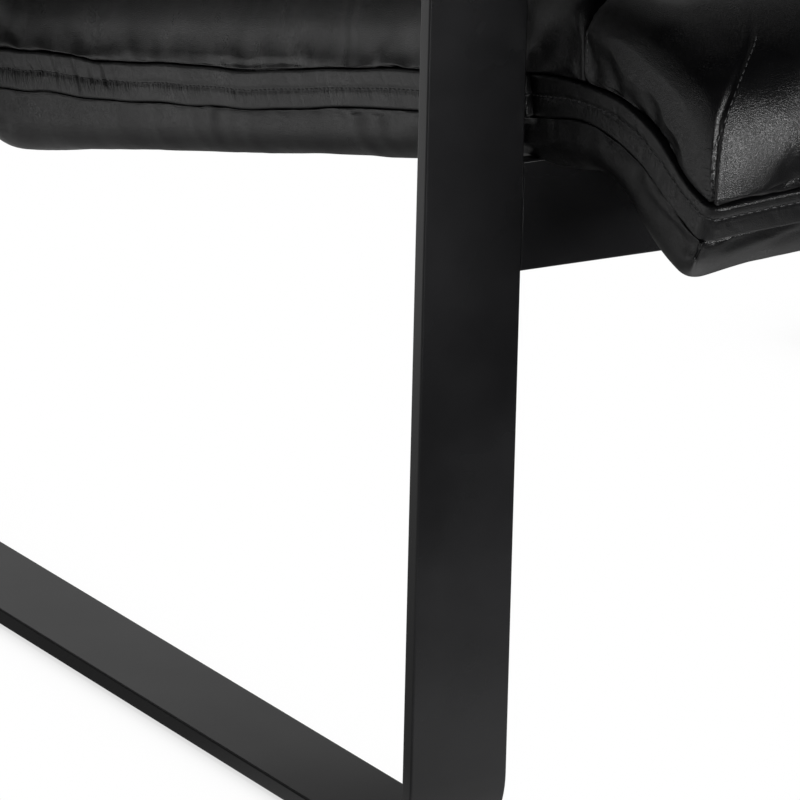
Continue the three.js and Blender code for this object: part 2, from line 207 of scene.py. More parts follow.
def move_vertices(mesh: Mesh, points: Array) -> None:
    """Give a mesh new coordinates."""
    mesh.vertices.foreach_set("co", np.asarray(points, np.float32).ravel())
    mesh.update()


def mark_vertices(mesh: Mesh, name: str, rows: Array) -> None:
    """Give each vertex of a mesh a named vector."""
    marks = mesh.attributes.new(name, "FLOAT_VECTOR", "POINT")
    marks.data.foreach_set("vector", np.asarray(rows, np.float32).ravel())


def hand_over(
    piece: Piece,
    material: Material | None,
    nodes: Sequence[str] = (),
) -> None:
    """Give a finished piece its material and body, and report it.

    Args:
        piece: a finished mesh object at the origin.
        material: its only material, or None where it has one already.
        nodes: construction nodes that it stands for.
    """
    if material is not None:
        piece.data.materials.clear()
        piece.data.materials.append(material)
    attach(piece, ROOT)
    if nodes:
        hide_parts(*nodes)
    LOG.info("%s: %d faces, for %s", piece.name, len(piece.data.polygons), ", ".join(nodes) or "itself")


# Unevenness

CELL_STEP = 127.1
ROW_STEP = 57.0
SEED_STEP = 311.7
SCRAMBLE = 43758.5453


def chance(cell: Array, seed: float) -> Array:
    """A fixed share from 0 to 1 for each whole number."""
    wave = np.sin(cell * CELL_STEP + seed * SEED_STEP) * SCRAMBLE
    return wave - np.floor(wave)


def soft_noise(u: Array, v: Array, seed: float) -> Array:
    """Smooth noise that changes over one unit.

    Args:
        u: places one way.
        v: places the other way.
        seed: picks the pattern.

    Returns:
        A value from -1 to 1 at each place.
    """
    left, low = np.floor(u), np.floor(v)
    fade = [t**3 * (t * (t * 6 - 15) + 10) for t in (u - left, v - low)]
    corner = {
        (i, j): 2 * chance((left + i) + ROW_STEP * (low + j), seed) - 1 for i in (0, 1) for j in (0, 1)
    }
    bottom = corner[0, 0] + (corner[1, 0] - corner[0, 0]) * fade[0]
    top = corner[0, 1] + (corner[1, 1] - corner[0, 1]) * fade[0]
    return bottom + (top - bottom) * fade[1]


def scattered(t: Array, spacing: float, width: float, seed: float) -> Array:
    """An uneven row of bumps, each up to 1 high.

    Args:
        t: distances along the row.
        spacing: usual distance between bumps.
        width: how far a bump reaches.
        seed: picks the row.

    Returns:
        The height of the row at each distance.
    """
    cell = np.floor(t / spacing)
    total = np.zeros_like(t)
    for step in (-1, 0, 1):
        place = (cell + step + 0.2 + 0.6 * chance(cell + step, seed)) * spacing
        height = 0.35 + 0.65 * chance(cell + step, seed + 1)
        total += height * np.exp(-(((t - place) / width) ** 2))
    return total


def bell(distance: Array, reach: float) -> Array:
    """A bump of height 1 that fades out over a reach on both sides."""
    return np.exp(-((distance / reach) ** 2))


@dataclass(frozen=True)
class Fold:
    """Uneven folds: their depth, their usual length each way, and the seed that picks them."""

    depth: float
    along: float
    across: float
    seed: float

    def at(self, u: Array, v: Array) -> Array:
        """Height of the folds at places along and across."""
        return self.depth * soft_noise(u / self.along, v / self.across, self.seed)


# The sling's centre line


@dataclass(frozen=True)
class Stretch:
    """A straight or round stretch of the centre line."""

    start: float
    length: float
    y: float
    z: float
    angle: float
    turn: float

    def at(self, s: Array) -> tuple[Array, Array, Array]:
        """Places and slopes on this stretch.

        Args:
            s: distances along the whole line.

        Returns:
            Y, Z and angle at each distance.
        """
        run = s - self.start
        if self.turn == 0:
            angle = np.full_like(run, self.angle)
            return self.y + math.cos(self.angle) * run, self.z + math.sin(self.angle) * run, angle
        bend = self.turn / self.length
        angle = self.angle + bend * run
        y = self.y + (np.sin(angle) - math.sin(self.angle)) / bend
        z = self.z - (np.cos(angle) - math.cos(self.angle)) / bend
        return y, z, angle


@dataclass
class SlingLine:
    """The sling's centre line, bent from the front edge over the seat and up the back."""

    post_front: float
    nose_overhang: float = 0.142
    nose_height: float = 0.333
    nose_length: float = 0.049
    nose_angle: float = math.radians(25)
    nose_radius: float = 0.115
    seat_length: float = 0.497
    seat_angle: float = math.radians(-12.2)
    crease_radius: float = 0.120
    back_length: float = 0.400
    back_angle: float = math.radians(70)
    stretches: list[Stretch] = field(init=False)

    def __post_init__(self) -> None:
        """Chain the stretches, each tangent to the last."""
        nose_turn = self.seat_angle - self.nose_angle
        crease_turn = self.back_angle - self.seat_angle
        plan = [
            (self.nose_length, 0.0),
            (self.nose_radius * abs(nose_turn), nose_turn),
            (self.seat_length, 0.0),
            (self.crease_radius * crease_turn, crease_turn),
            (self.back_length, 0.0),
        ]
        self.stretches = []
        start, y, z, angle = 0.0, self.post_front - self.nose_overhang, self.nose_height, self.nose_angle
        for length, turn in plan:
            stretch = Stretch(start, length, y, z, angle, turn)
            self.stretches.append(stretch)
            start += length
            y, z, angle = (float(value[0]) for value in stretch.at(np.array([start])))

    @property
    def length(self) -> float:
        """Length of the whole line."""
        return self.stretches[-1].start + self.stretches[-1].length

    @property
    def crease_seam(self) -> float:
        """Place of the seam between the seat and the back."""
        bend = self.stretches[3]
        return bend.start + bend.length / 2

    def at(self, s: Array) -> tuple[Array, Array, Array]:
        """Places and slopes on the line.

        Args:
            s: distances along it.

        Returns:
            Y, Z and angle at each distance.
        """
        s = np.asarray(s, float)
        found = [np.empty_like(s) for _ in range(3)]
        for index, stretch in enumerate(self.stretches):
            here = s >= stretch.start if index else np.full(s.shape, True)
            for values, part in zip(found, stretch.at(s[here])):
                values[here] = part
        return tuple(found)

    def points(self, s: Array, x: Array, n: Array) -> Array:
        """Points on the sling.

        Args:
            s: distances along the line.
            x: distances across it.
            n: heights above it.

        Returns:
            One row of coordinates for each place.
        """
        s, x, n = np.broadcast_arrays(*(np.asarray(value, float) for value in (s, x, n)))
        y, z, angle = self.at(s)
        return np.stack([x, y - np.sin(angle) * n, z + np.cos(angle) * n], axis=-1)


@dataclass(frozen=True)
class Dip:
    """A place where a seam strays from its straight run."""

    place: float
    rise: float
    reach: float


@dataclass(frozen=True)
class Drape:
    """How the sewn sling strays from its plain form: its long seams wander and its corners hang."""

    half_width: float
    length: float
    upper_dips: tuple[Dip, ...] = (
        Dip(0.020, -0.0026, 0.018),
        Dip(0.105, -0.0030, 0.022),
        Dip(0.275, 0.0007, 0.035),
        Dip(0.340, -0.0007, 0.110),
        Dip(0.400, -0.0018, 0.042),
        Dip(0.430, -0.0005, 0.040),
        Dip(0.505, -0.0005, 0.020),
        Dip(0.553, -0.0016, 0.016),
        Dip(0.565, 0.0009, 0.020),
        Dip(0.605, -0.0011, 0.025),
        Dip(0.615, 0.0048, 0.043),
        Dip(0.668, -0.0035, 0.016),
        Dip(0.880, -0.0018, 0.060),
        Dip(1.040, 0.0014, 0.050),
    )
    lower_dips: tuple[Dip, ...] = (
        Dip(0.245, 0.0009, 0.025),
        Dip(0.300, 0.0014, 0.030),
        Dip(0.400, -0.0016, 0.035),
        Dip(0.455, -0.0009, 0.022),
        Dip(0.614, 0.0034, 0.040),
        Dip(0.668, -0.0045, 0.016),
        Dip(0.880, -0.0016, 0.060),
        Dip(1.040, 0.0010, 0.050),
    )
    right_shift: float = 0.030
    ripple: float = 0.0002
    ripple_length: float = 0.055
    ripple_lean: float = 0.7
    bow: float = 0.007
    bow_reach: float = 0.042
    bow_length: float = 0.090

    def seam(self, s: Array, x: Array, level: Array | float) -> Array:
        """How far the band lies above its straight run.

        Args:
            s: places along the sling.
            x: places across it.
            level: -1 at the band's lower seam to 1 at its upper seam.

        Returns:
            The rise at each place.
        """
        shifted = s + np.where(x > 0, self.right_shift, 0.0)
        upper, lower = (
            sum(dip.rise * bell(shifted - dip.place, dip.reach) for dip in dips)
            for dips in (self.upper_dips, self.lower_dips)
        )
        ripple = self.ripple * np.sin(2 * math.pi * (s + self.ripple_lean * x) / self.ripple_length)
        return ripple + lower + (upper - lower) * (level + 1) / 2

    def crown(self, s: Array, x: Array) -> Array:
        """How far the middle of the front or top edge stands above its corners.

        Args:
            s: places along the sling.
            x: places across it.

        Returns:
            The rise at each place.
        """
        edge = np.maximum(0, self.half_width - np.abs(x))
        end = np.minimum(s, self.length - s)
        return self.bow * (1 - np.exp(-edge / self.bow_reach)) * bell(end, self.bow_length)


# Finishes


class Sketch:
    """Adds nodes to one tree and joins them."""

    def __init__(self, tree: bpy.types.NodeTree) -> None:
        """Start with an empty tree."""
        self.tree = tree
        tree.nodes.clear()

    def add(self, kind: str, inputs: dict | None = None, **settings: object) -> bpy.types.Node:
        """Add a node.

        Args:
            kind: the node's type.
            inputs: a value or a socket to link, for each input's name or number.
            **settings: the node's own properties.

        Returns:
            The node.
        """
        node = self.tree.nodes.new(kind)
        for name, value in settings.items():
            setattr(node, name, value)
        for key, value in (inputs or {}).items():
            if isinstance(value, bpy.types.NodeSocket):
                self.tree.links.new(value, node.inputs[key])
            else:
                node.inputs[key].default_value = value
        return node

    def math(self, operation: str, *values: Feed) -> Socket:
        """Result of a maths node."""
        return self.add("ShaderNodeMath", dict(enumerate(values)), operation=operation).outputs[0]

    def blend(self, share: Feed, first: Colour, second: Colour) -> Socket:
        """A colour between two, by a share from 0 to 1."""
        mix = self.add("ShaderNodeMix", {0: share, 6: first, 7: second}, data_type="RGBA")
        return mix.outputs[2]

    def between(self, value: Feed, low: float, high: float, start: float = 0, end: float = 1) -> Socket:
        """A value from start to end, mapped to low to high."""
        names = {"Value": value, "From Min": start, "From Max": end, "To Min": low, "To Max": high}
        return self.add("ShaderNodeMapRange", names).outputs[0]

    def cloud(self, place: Socket, scale: Feed, detail: float, roughness: float = 0.5) -> bpy.types.Node:
        """A noise texture."""
        names = {"Vector": place, "Scale": scale, "Detail": detail, "Roughness": roughness}
        return self.add("ShaderNodeTexNoise", names)


Draw = Callable[[Sketch, Socket, Socket], dict[str, Socket]]


@dataclass(frozen=True)
class Pattern:
    """A shader node group that takes a place and a size, and gives numbers."""

    name: str
    size: str
    outputs: tuple[str, ...]
    draw: Draw

    def tree(self) -> bpy.types.NodeTree:
        """Make the group, once.

        Returns:
            Its tree.
        """
        made = bpy.data.node_groups.get(self.name)
        if made is not None:
            return made
        tree = bpy.data.node_groups.new(self.name, "ShaderNodeTree")
        for socket, kind in (("Place", "NodeSocketVector"), (self.size, "NodeSocketFloat")):
            tree.interface.new_socket(socket, in_out="INPUT", socket_type=kind)
        for socket in self.outputs:
            tree.interface.new_socket(socket, in_out="OUTPUT", socket_type="NodeSocketFloat")
        sketch = Sketch(tree)
        entry = sketch.add("NodeGroupInput").outputs
        sketch.add("NodeGroupOutput", self.draw(sketch, entry["Place"], entry[self.size]))
        return tree


def draw_pebbles(sketch: Sketch, place: Socket, cell: Socket) -> dict[str, Socket]:
    """Draw domes that are parted by fine creases.

    Args:
        sketch: the tree to draw in.
        place: where on the piece.
        cell: usual width of a dome.

    Returns:
        The grain's height, and the share of a dome in it.
    """
    frequency = sketch.math("DIVIDE", 1.0, cell)
    scaled = sketch.add("ShaderNodeVectorMath", {0: place, 3: frequency}, operation="SCALE").outputs[0]
    stray = sketch.cloud(scaled, 0.6, 2.0).outputs["Color"]
    shifted = sketch.add("ShaderNodeVectorMath", {0: stray, 1: scaled}, operation="ADD").outputs[0]
    cells = sketch.add(
        "ShaderNodeTexVoronoi", {"Vector": shifted, "Scale": 1.0}, feature="DISTANCE_TO_EDGE"
    )
    dome = sketch.between(cells.outputs["Distance"], 0.0, 1.0, end=0.32)
    pores = sketch.cloud(scaled, 2.6, 3.0).outputs["Fac"]
    return {"Height": sketch.math("MULTIPLY_ADD", pores, 0.35, dome), "Dome": dome}


def draw_mottle(sketch: Sketch, place: Socket, patch: Socket) -> dict[str, Socket]:
    """Draw soft uneven patches.

    Args:
        sketch: the tree to draw in.
        place: where on the piece.
        patch: usual width of a patch.

    Returns:
        A share from 0 to 1.
    """
    cloud = sketch.cloud(place, sketch.math("DIVIDE", 1.0, patch), 4.0, roughness=0.55)
    return {"Share": sketch.between(cloud.outputs["Fac"], 0.0, 1.0, start=0.3, end=0.7)}


def draw_weave(sketch: Sketch, place: Socket, pitch: Socket) -> dict[str, Socket]:
    """Draw a plain weave.

    Args:
        sketch: the tree to draw in.
        place: where on the piece.
        pitch: width of a thread.

    Returns:
        The weave's height, from 0 to 1.
    """
    turn = sketch.math("DIVIDE", math.pi, pitch)
    parts = sketch.add("ShaderNodeSeparateXYZ", {0: place})
    waves = [sketch.math("SINE", sketch.math("MULTIPLY", part, turn)) for part in parts.outputs[:2]]
    return {"Height": sketch.between(sketch.math("MULTIPLY", *waves), 0.0, 1.0, start=-1)}


def draw_gathers(sketch: Sketch, place: Socket, pitch: Socket) -> dict[str, Socket]:
    """Draw fine leaning gathers that hang from a seam, in patches.

    Args:
        sketch: the tree to draw in.
        place: along the seam in X and up from it in Y, with the gathers' strength in Z.
        pitch: usual distance between gathers.

    Returns:
        The gathers' height, from 0 to 1.
    """
    run, level, strength = sketch.add("ShaderNodeSeparateXYZ", {0: place}).outputs
    leaning = sketch.math("MULTIPLY_ADD", level, -0.35, run)
    across = sketch.math("DIVIDE", leaning, pitch)
    drawn = sketch.add("ShaderNodeCombineXYZ", {0: across, 1: sketch.math("MULTIPLY", level, 90.0)})
    folds = sketch.cloud(drawn.outputs[0], 1.0, 1.5).outputs["Fac"]
    spread = sketch.add("ShaderNodeCombineXYZ", {0: sketch.math("MULTIPLY", run, 24.0)})
    patch = sketch.cloud(spread.outputs[0], 1.0, 1.0).outputs["Fac"]
    below = sketch.between(level, 1.0, 0.0, start=-0.0006, end=0.0009)
    above_end = sketch.between(level, 0.0, 1.0, start=-0.0078, end=-0.0020)
    mask = sketch.math("MULTIPLY", sketch.math("MULTIPLY", below, above_end), strength)
    here = sketch.between(patch, 0.25, 1.0, start=0.35, end=0.6)
    folded = sketch.between(folds, 0.0, 1.0, start=0.3, end=0.7)
    return {"Height": sketch.math("MULTIPLY", sketch.math("MULTIPLY", mask, here), folded)}


PEBBLES = Pattern("pebbled grain", "Cell", ("Height", "Dome"), draw_pebbles)
MOTTLE = Pattern("soft mottle", "Patch", ("Share",), draw_mottle)
WEAVE = Pattern("plain weave", "Pitch", ("Height",), draw_weave)
GATHERS = Pattern("hanging gathers", "Pitch", ("Height",), draw_gathers)


class Effects:
    """Places the shared groups in one material."""

    def __init__(self, name: str) -> None:
        """Make a material with an empty tree and its Object coordinates.

        Args:
            name: the material's name.
        """
        self.material = bpy.data.materials.new(name)
        self.material.use_nodes = True
        self.sketch = Sketch(self.material.node_tree)
        self.place = self.sketch.add("ShaderNodeTexCoord").outputs["Object"]

    def group(
        self, pattern: Pattern, size: float, place: Socket | None = None
    ) -> bpy.types.bpy_prop_collection:
        """Outputs of a pattern of a size, by the piece's own coordinates or by other places."""
        values = {"Place": self.place if place is None else place, pattern.size: size}
        return self.sketch.add("ShaderNodeGroup", values, node_tree=pattern.tree()).outputs

    def mottle(self, patch: float) -> Socket:
        """Share of a soft mottle with patches of a width."""
        return self.group(MOTTLE, patch)["Share"]

    def bump(self, height: Socket, depth: float, strength: float, under: Socket | None = None) -> Socket:
        """Make a normal from a height.

        Args:
            height: the height, from 0 to 1.
            depth: how deep it goes.
            strength: how much of it shows.
            under: a normal that it lies on, if any.

        Returns:
            The normal.
        """
        values = {"Strength": strength, "Distance": depth, "Height": height}
        if under is not None:
            values["Normal"] = under
        return self.sketch.add("ShaderNodeBump", values).outputs[0]

    def finish(self, **sockets: Feed) -> Material:
        """Add the surface shader.

        Args:
            **sockets: a value or a link for each of its inputs.

        Returns:
            The finished material.
        """
        named = {name.replace("_", " "): value for name, value in sockets.items()}
        shader = self.sketch.add("ShaderNodeBsdfPrincipled", named)
        self.sketch.add("ShaderNodeOutputMaterial", {"Surface": shader.outputs[0]})
        return self.material


@dataclass(frozen=True)
class Leather:
    """Glossy black leather with a fine pebbled grain, and gathers below a seam where it has one."""

    name: str = "black_leather"
    gathered: bool = False
    colour: Colour = (0.0018, 0.0018, 0.0021, 1)
    rubbed_colour: Colour = (0.0032, 0.0032, 0.0036, 1)
    patch: float = 0.035
    cell: float = 0.0008
    grain_depth: float = 0.00016
    grain_strength: float = 0.42
    smooth_roughness: float = 0.26
    dull_roughness: float = 0.38
    dome_gloss: float = 0.25
    sheen: float = 0.5
    gather_pitch: float = 0.0019
    gather_depth: float = 0.0012
    gather_strength: float = 0.8

    def material(self) -> Material:
        """Build the material.

        Returns:
            The leather.
        """
        effects = Effects(self.name)
        sketch = effects.sketch
        share = effects.mottle(self.patch)
        grain = effects.group(PEBBLES, self.cell)
        dulled = sketch.math("ADD", share, self.dome_gloss / 2)
        gloss = sketch.math("MULTIPLY_ADD", grain["Dome"], -self.dome_gloss, dulled)
        normal = effects.bump(grain["Height"], self.grain_depth, self.grain_strength)
        if self.gathered:
            seam = sketch.add("ShaderNodeAttribute", attribute_name=SEAM_MARK).outputs["Vector"]
            fold = effects.group(GATHERS, self.gather_pitch, seam)["Height"]
            normal = effects.bump(fold, self.gather_depth, self.gather_strength, normal)
        return effects.finish(
            Base_Color=sketch.blend(share, self.colour, self.rubbed_colour),
            Roughness=sketch.between(gloss, self.smooth_roughness, self.dull_roughness),
            Normal=normal,
            Specular_IOR_Level=self.sheen,
        )


@dataclass(frozen=True)
class PowderCoat:
    """Satin black powder coat on steel bar, with a lighter colour towards its rounded edges."""

    name: str = "satin_black_coat"
    colour: Colour = (0.0030, 0.0030, 0.0033, 1)
    edge_colour: Colour = (0.015, 0.015, 0.016, 1)
    patch: float = 0.09
    peel: float = 0.0016
    peel_depth: float = 0.00006
    peel_strength: float = 0.12
    low_roughness: float = 0.20
    high_roughness: float = 0.27
    edge_low: float = 0.25
    edge_high: float = 0.9
    sheen: float = 0.35

    def material(self) -> Material:
        """Build the material.

        Returns:
            The coat.
        """
        effects = Effects(self.name)
        sketch = effects.sketch
        share = effects.mottle(self.patch)
        peel = effects.mottle(self.peel)
        edge = sketch.add("ShaderNodeAttribute", attribute_name=EDGE_MARK).outputs["Fac"]
        # Lighter colour towards the rounded edges, in patches.
        edge_share = sketch.math("MULTIPLY", edge, sketch.between(share, self.edge_low, self.edge_high))
        return effects.finish(
            Base_Color=sketch.blend(edge_share, self.colour, self.edge_colour),
            Roughness=sketch.between(share, self.low_roughness, self.high_roughness),
            Normal=effects.bump(peel, self.peel_depth, self.peel_strength),
            Specular_IOR_Level=self.sheen,
        )


@dataclass(frozen=True)
class Metal:
    """Bare or plated steel with uneven, finely scratched gloss."""

    name: str
    colour: Colour
    dark_colour: Colour
    low_roughness: float
    high_roughness: float
    patch: float = 0.012
    scratch: float = 0.0007
    scratch_depth: float = 0.00002
    scratch_strength: float = 0.4

    def material(self) -> Material:
        """Build the material.

        Returns:
            The steel.
        """
        effects = Effects(self.name)
        sketch = effects.sketch
        share = effects.mottle(self.patch)
        fine = effects.mottle(self.scratch)
        return effects.finish(
            Base_Color=sketch.blend(share, self.colour, self.dark_colour),
            Metallic=1.0,
            Roughness=sketch.between(share, self.low_roughness, self.high_roughness),
            Normal=effects.bump(fine, self.scratch_depth, self.scratch_strength),
        )


@dataclass(frozen=True)
class Woven:
    """Woven webbing, or sewing thread where the pitch is fine, with painted shade in the weave's hollows."""

    name: str
    colour: Colour
    painted_shade_colour: Colour
    pitch: float
    depth: float
    roughness: float
    patch_threads: int = 10
    low_tone: float = 0.7
    strength: float = 0.6

    def material(self) -> Material:
        """Build the material.

        Returns:
            The cloth or thread.
        """
        effects = Effects(self.name)
        sketch = effects.sketch
        weave = effects.group(WEAVE, self.pitch)["Height"]
        share = effects.mottle(self.patch_threads * self.pitch)
        # Painted shade: the darker colour fills the weave's low spots, and random patches are darker too.
        tone = sketch.math("MULTIPLY", weave, sketch.between(share, self.low_tone, 1.0))
        return effects.finish(
            Base_Color=sketch.blend(tone, self.painted_shade_colour, self.colour),
            Roughness=self.roughness,
            Normal=effects.bump(weave, self.depth, self.strength),
        )


@dataclass(frozen=True)
class MouldedNylon:
    """Moulded black nylon with a fine spark texture."""

    name: str = "moulded_nylon"
    colour: Colour = (0.010, 0.010, 0.010, 1)
    rubbed_colour: Colour = (0.025, 0.025, 0.025, 1)
    spark: float = 0.0006
    spark_depth: float = 0.00004
    spark_strength: float = 0.5
    patch: float = 0.012
    low_roughness: float = 0.5
    high_roughness: float = 0.65

    def material(self) -> Material:
        """Build the material.

        Returns:
            The nylon.
        """
        effects = Effects(self.name)
        sketch = effects.sketch
        spark = effects.mottle(self.spark)
        share = effects.mottle(self.patch)
        return effects.finish(
            Base_Color=sketch.blend(share, self.colour, self.rubbed_colour),
            Roughness=sketch.between(share, self.low_roughness, self.high_roughness),
            Normal=effects.bump(spark, self.spark_depth, self.spark_strength),
        )


def mark_edges(piece: Piece, sharpness: float = math.radians(9)) -> None:
    """Mark the rounded edges of a bar.

    Args:
        piece: the bar.
        sharpness: the least angle between two faces at such an edge.
    """
    shell = bmesh.new()
    shell.from_mesh(piece.data)
    marks = np.zeros(len(shell.verts), np.float32)
    for edge in shell.edges:
        if len(edge.link_faces) == 2 and edge.calc_face_angle() > sharpness:
            for corner in edge.verts:
                marks[corner.index] = 1.0
    shell.free()
    attribute = piece.data.attributes.new(EDGE_MARK, "FLOAT", "POINT")
    attribute.data.foreach_set("value", marks)


# Node trees that build geometry


class GeometryTree:
    """A geometry node tree with named inputs, and the modifier that runs it."""

    def __init__(self, name: str, *sizes: str) -> None:
        """Make the tree and its sockets.

        Args:
            name: the tree's name.
            *sizes: names of its number inputs, between the geometry and the material.
        """
        self.tree = bpy.data.node_groups.new(name, "GeometryNodeTree")
        numbers = dict.fromkeys(sizes, "NodeSocketFloat")
        sockets = {"Geometry": "NodeSocketGeometry", **numbers, "Material": "NodeSocketMaterial"}
        self.identifiers = {
            socket: self.tree.interface.new_socket(socket, in_out="INPUT", socket_type=kind).identifier
            for socket, kind in sockets.items()
        }
        self.tree.interface.new_socket("Geometry", in_out="OUTPUT", socket_type="NodeSocketGeometry")
        self.sketch = Sketch(self.tree)
        self.entry = self.sketch.add("NodeGroupInput").outputs

    def close(self, geometry: Socket) -> None:
        """End the tree in realised, smooth geometry with the material input.

        Args:
            geometry: what the tree has built.
        """
        real = self.sketch.add("GeometryNodeRealizeInstances", {"Geometry": geometry})
        smooth = self.sketch.add("GeometryNodeSetShadeSmooth", {"Geometry": real.outputs[0]})
        painted = self.sketch.add(
            "GeometryNodeSetMaterial", {"Geometry": smooth.outputs[0], "Material": self.entry["Material"]}
        )
        self.sketch.add("NodeGroupOutput", {"Geometry": painted.outputs[0]})

    def run(self, piece: Piece, **values: float | Material) -> None:
        """Put the tree on an object.

        Args:
            piece: the object.
            **values: a value for each input.
        """
        modifier = piece.modifiers.new(self.tree.name, "NODES")
        modifier.node_group = self.tree
        for name, value in values.items():
            modifier[self.identifiers[name.replace("_", " ")]] = value


def bent_loop_tree(bend_steps: int, edge_steps: int) -> GeometryTree:
    """A closed loop of flat bar with rounded edges, bent upright across X.

    Args:
        bend_steps: steps round each bend.
        edge_steps: steps round each edge of the bar.

    Returns:
        The tree, with the loop's sizes and material as inputs.
    """
    sizes = ("Depth", "Height", "Bend radius", "Bar width", "Bar thickness", "Edge radius")
    made = GeometryTree("bent loop of flat bar", *sizes)
    sketch, entry = made.sketch, made.entry
    thickness = entry["Bar thickness"]
    middle = {name: sketch.math("SUBTRACT", entry[name], thickness) for name in ("Depth", "Height")}
    radius = sketch.math("MULTIPLY_ADD", thickness, -0.5, entry["Bend radius"])

    def rounded(width: Feed, height: Feed, corner: Feed, steps: int) -> Socket:
        """Draw a rectangle with round corners.

        Args:
            width: its width.
            height: its height.
            corner: radius of its corners.
            steps: steps round each corner.

        Returns:
            The rectangle as a curve.
        """
        outline = sketch.add("GeometryNodeCurvePrimitiveQuadrilateral", {"Width": width, "Height": height})
        values = {"Curve": outline.outputs[0], "Radius": corner, "Count": steps}
        return sketch.add("GeometryNodeFilletCurve", values, mode="POLY").outputs[0]

    path = rounded(middle["Depth"], middle["Height"], radius, bend_steps)
    upright = sketch.add("GeometryNodeSetCurveNormal", {"Curve": path}, mode="Z_UP")
    section = rounded(thickness, entry["Bar width"], entry["Edge radius"], edge_steps)
    bar = sketch.add("GeometryNodeCurveToMesh", {"Curve": upright.outputs[0], "Profile Curve": section})
    quarter = math.pi / 2
    turned = sketch.add(
        "GeometryNodeTransform", {"Geometry": bar.outputs[0], "Rotation": (quarter, 0.0, quarter)}
    )
    made.close(turned.outputs[0])
    return made


def stitch_tree(segments: int = 7, rings: int = 6) -> GeometryTree:
    """Stitches laid end to end along polylines.

    Args:
        segments: faces round a stitch.
        rings: faces along it.

    Returns:
        The tree, with the stitches' sizes and material as inputs.
    """
    made = GeometryTree("row of stitches", "Pitch", "Stitch length", "Thread radius")
    sketch, entry = made.sketch, made.entry
    rows = sketch.add("GeometryNodeMeshToCurve", {"Mesh": entry["Geometry"]})
    spots = sketch.add(
        "GeometryNodeCurveToPoints", {"Curve": rows.outputs[0], "Length": entry["Pitch"]}, mode="LENGTH"
    )
    aim = sketch.add("FunctionNodeAlignRotationToVector", {"Vector": spots.outputs["Tangent"]}, axis="Z")
    bead = sketch.add("GeometryNodeMeshUVSphere", {"Segments": segments, "Rings": rings, "Radius": 1.0})
    half = sketch.math("MULTIPLY", entry["Stitch length"], 0.5)
    radius = entry["Thread radius"]
    scale = sketch.add("ShaderNodeCombineXYZ", {"X": radius, "Y": radius, "Z": half})
    laid = sketch.add(
        "GeometryNodeInstanceOnPoints",
        {
            "Points": spots.outputs["Points"],
            "Instance": bead.outputs["Mesh"],
            "Rotation": aim.outputs[0],
            "Scale": scale.outputs[0],
        },
    )
    made.close(laid.outputs[0])
    return made


# Steel frame


@dataclass
class SideLoops:
    """The two closed loops of flat bar that stand on the floor and carry the arms."""

    coat: Material
    bend_radius: float = 0.042
    edge_radius: float = 0.0011
    bend_steps: int = 20
    edge_steps: int = 4

    def build(self) -> None:
        """Bend both loops where the construction has them."""
        tree = bent_loop_tree(self.bend_steps, self.edge_steps)
        rail_low, rail_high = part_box("front_cross_rail")
        thickness = rail_high.y - rail_low.y
        for side in ("left", "right"):
            node = f"{side}_side_frame"
            low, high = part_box(node)
            size = high - low
            loop = add_mesh(f"{side}_loop", np.empty((0, 3)), [])
            tree.run(
                loop,
                Depth=size.y,
                Height=size.z,
                Bend_radius=self.bend_radius,
                Bar_width=size.x,
                Bar_thickness=thickness,
                Edge_radius=self.edge_radius,
                Material=self.coat,
            )
            loop.modifiers.new("flat faces", "WEIGHTED_NORMAL")
            settle(loop)
            loop.data.transform(Matrix.Translation((low + high) / 2))
            mark_edges(loop)
            hand_over(loop, None, [node])


@dataclass
class CrossRails:
    """The two rails on edge between the posts, under the sling."""

    coat: Material
    edge_radius: float = 0.0011
    edge_steps: int = 4

    def build(self) -> None:
        """Make both rails where the construction has them."""
        for end in ("front", "rear"):
            node = f"{end}_cross_rail"
            low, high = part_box(node)
            outline = self._section(high.y - low.y, high.z - low.z)
            outline += [(low.y + high.y) / 2, (low.z + high.z) / 2]
            ends = [np.insert(outline, 0, x, axis=1) for x in (low.x, high.x)]
            rail = add_mesh(f"{end}_rail", np.concatenate(ends), loft_faces(len(outline), len(ends)))
            turn_outwards(rail)
            rail.modifiers.new("flat faces", "WEIGHTED_NORMAL")
            settle(rail)
            mark_edges(rail)
            hand_over(rail, self.coat, [node])

    def _section(self, width: float, height: float) -> Array:
        """Outline of the rail's section, with rounded corners.

        Args:
            width: the rail's thickness.
            height: its height.

        Returns:
            Places about the section's middle, one row each.
        """
        sweep = np.linspace(0, math.pi / 2, self.edge_steps + 1)
        corner = self.edge_radius * np.stack([np.cos(sweep), np.sin(sweep)], axis=1)
        middle = np.array([width / 2 - self.edge_radius, height / 2 - self.edge_radius])
        quarters = []
        for turn in range(4):
            angle = turn * math.pi / 2
            spin = np.array([[math.cos(angle), math.sin(angle)], [-math.sin(angle), math.cos(angle)]])
            signs = np.sign(np.array([1.0, 1.0]) @ spin)
            quarters.append(corner @ spin + middle * signs)
        return np.concatenate(quarters)


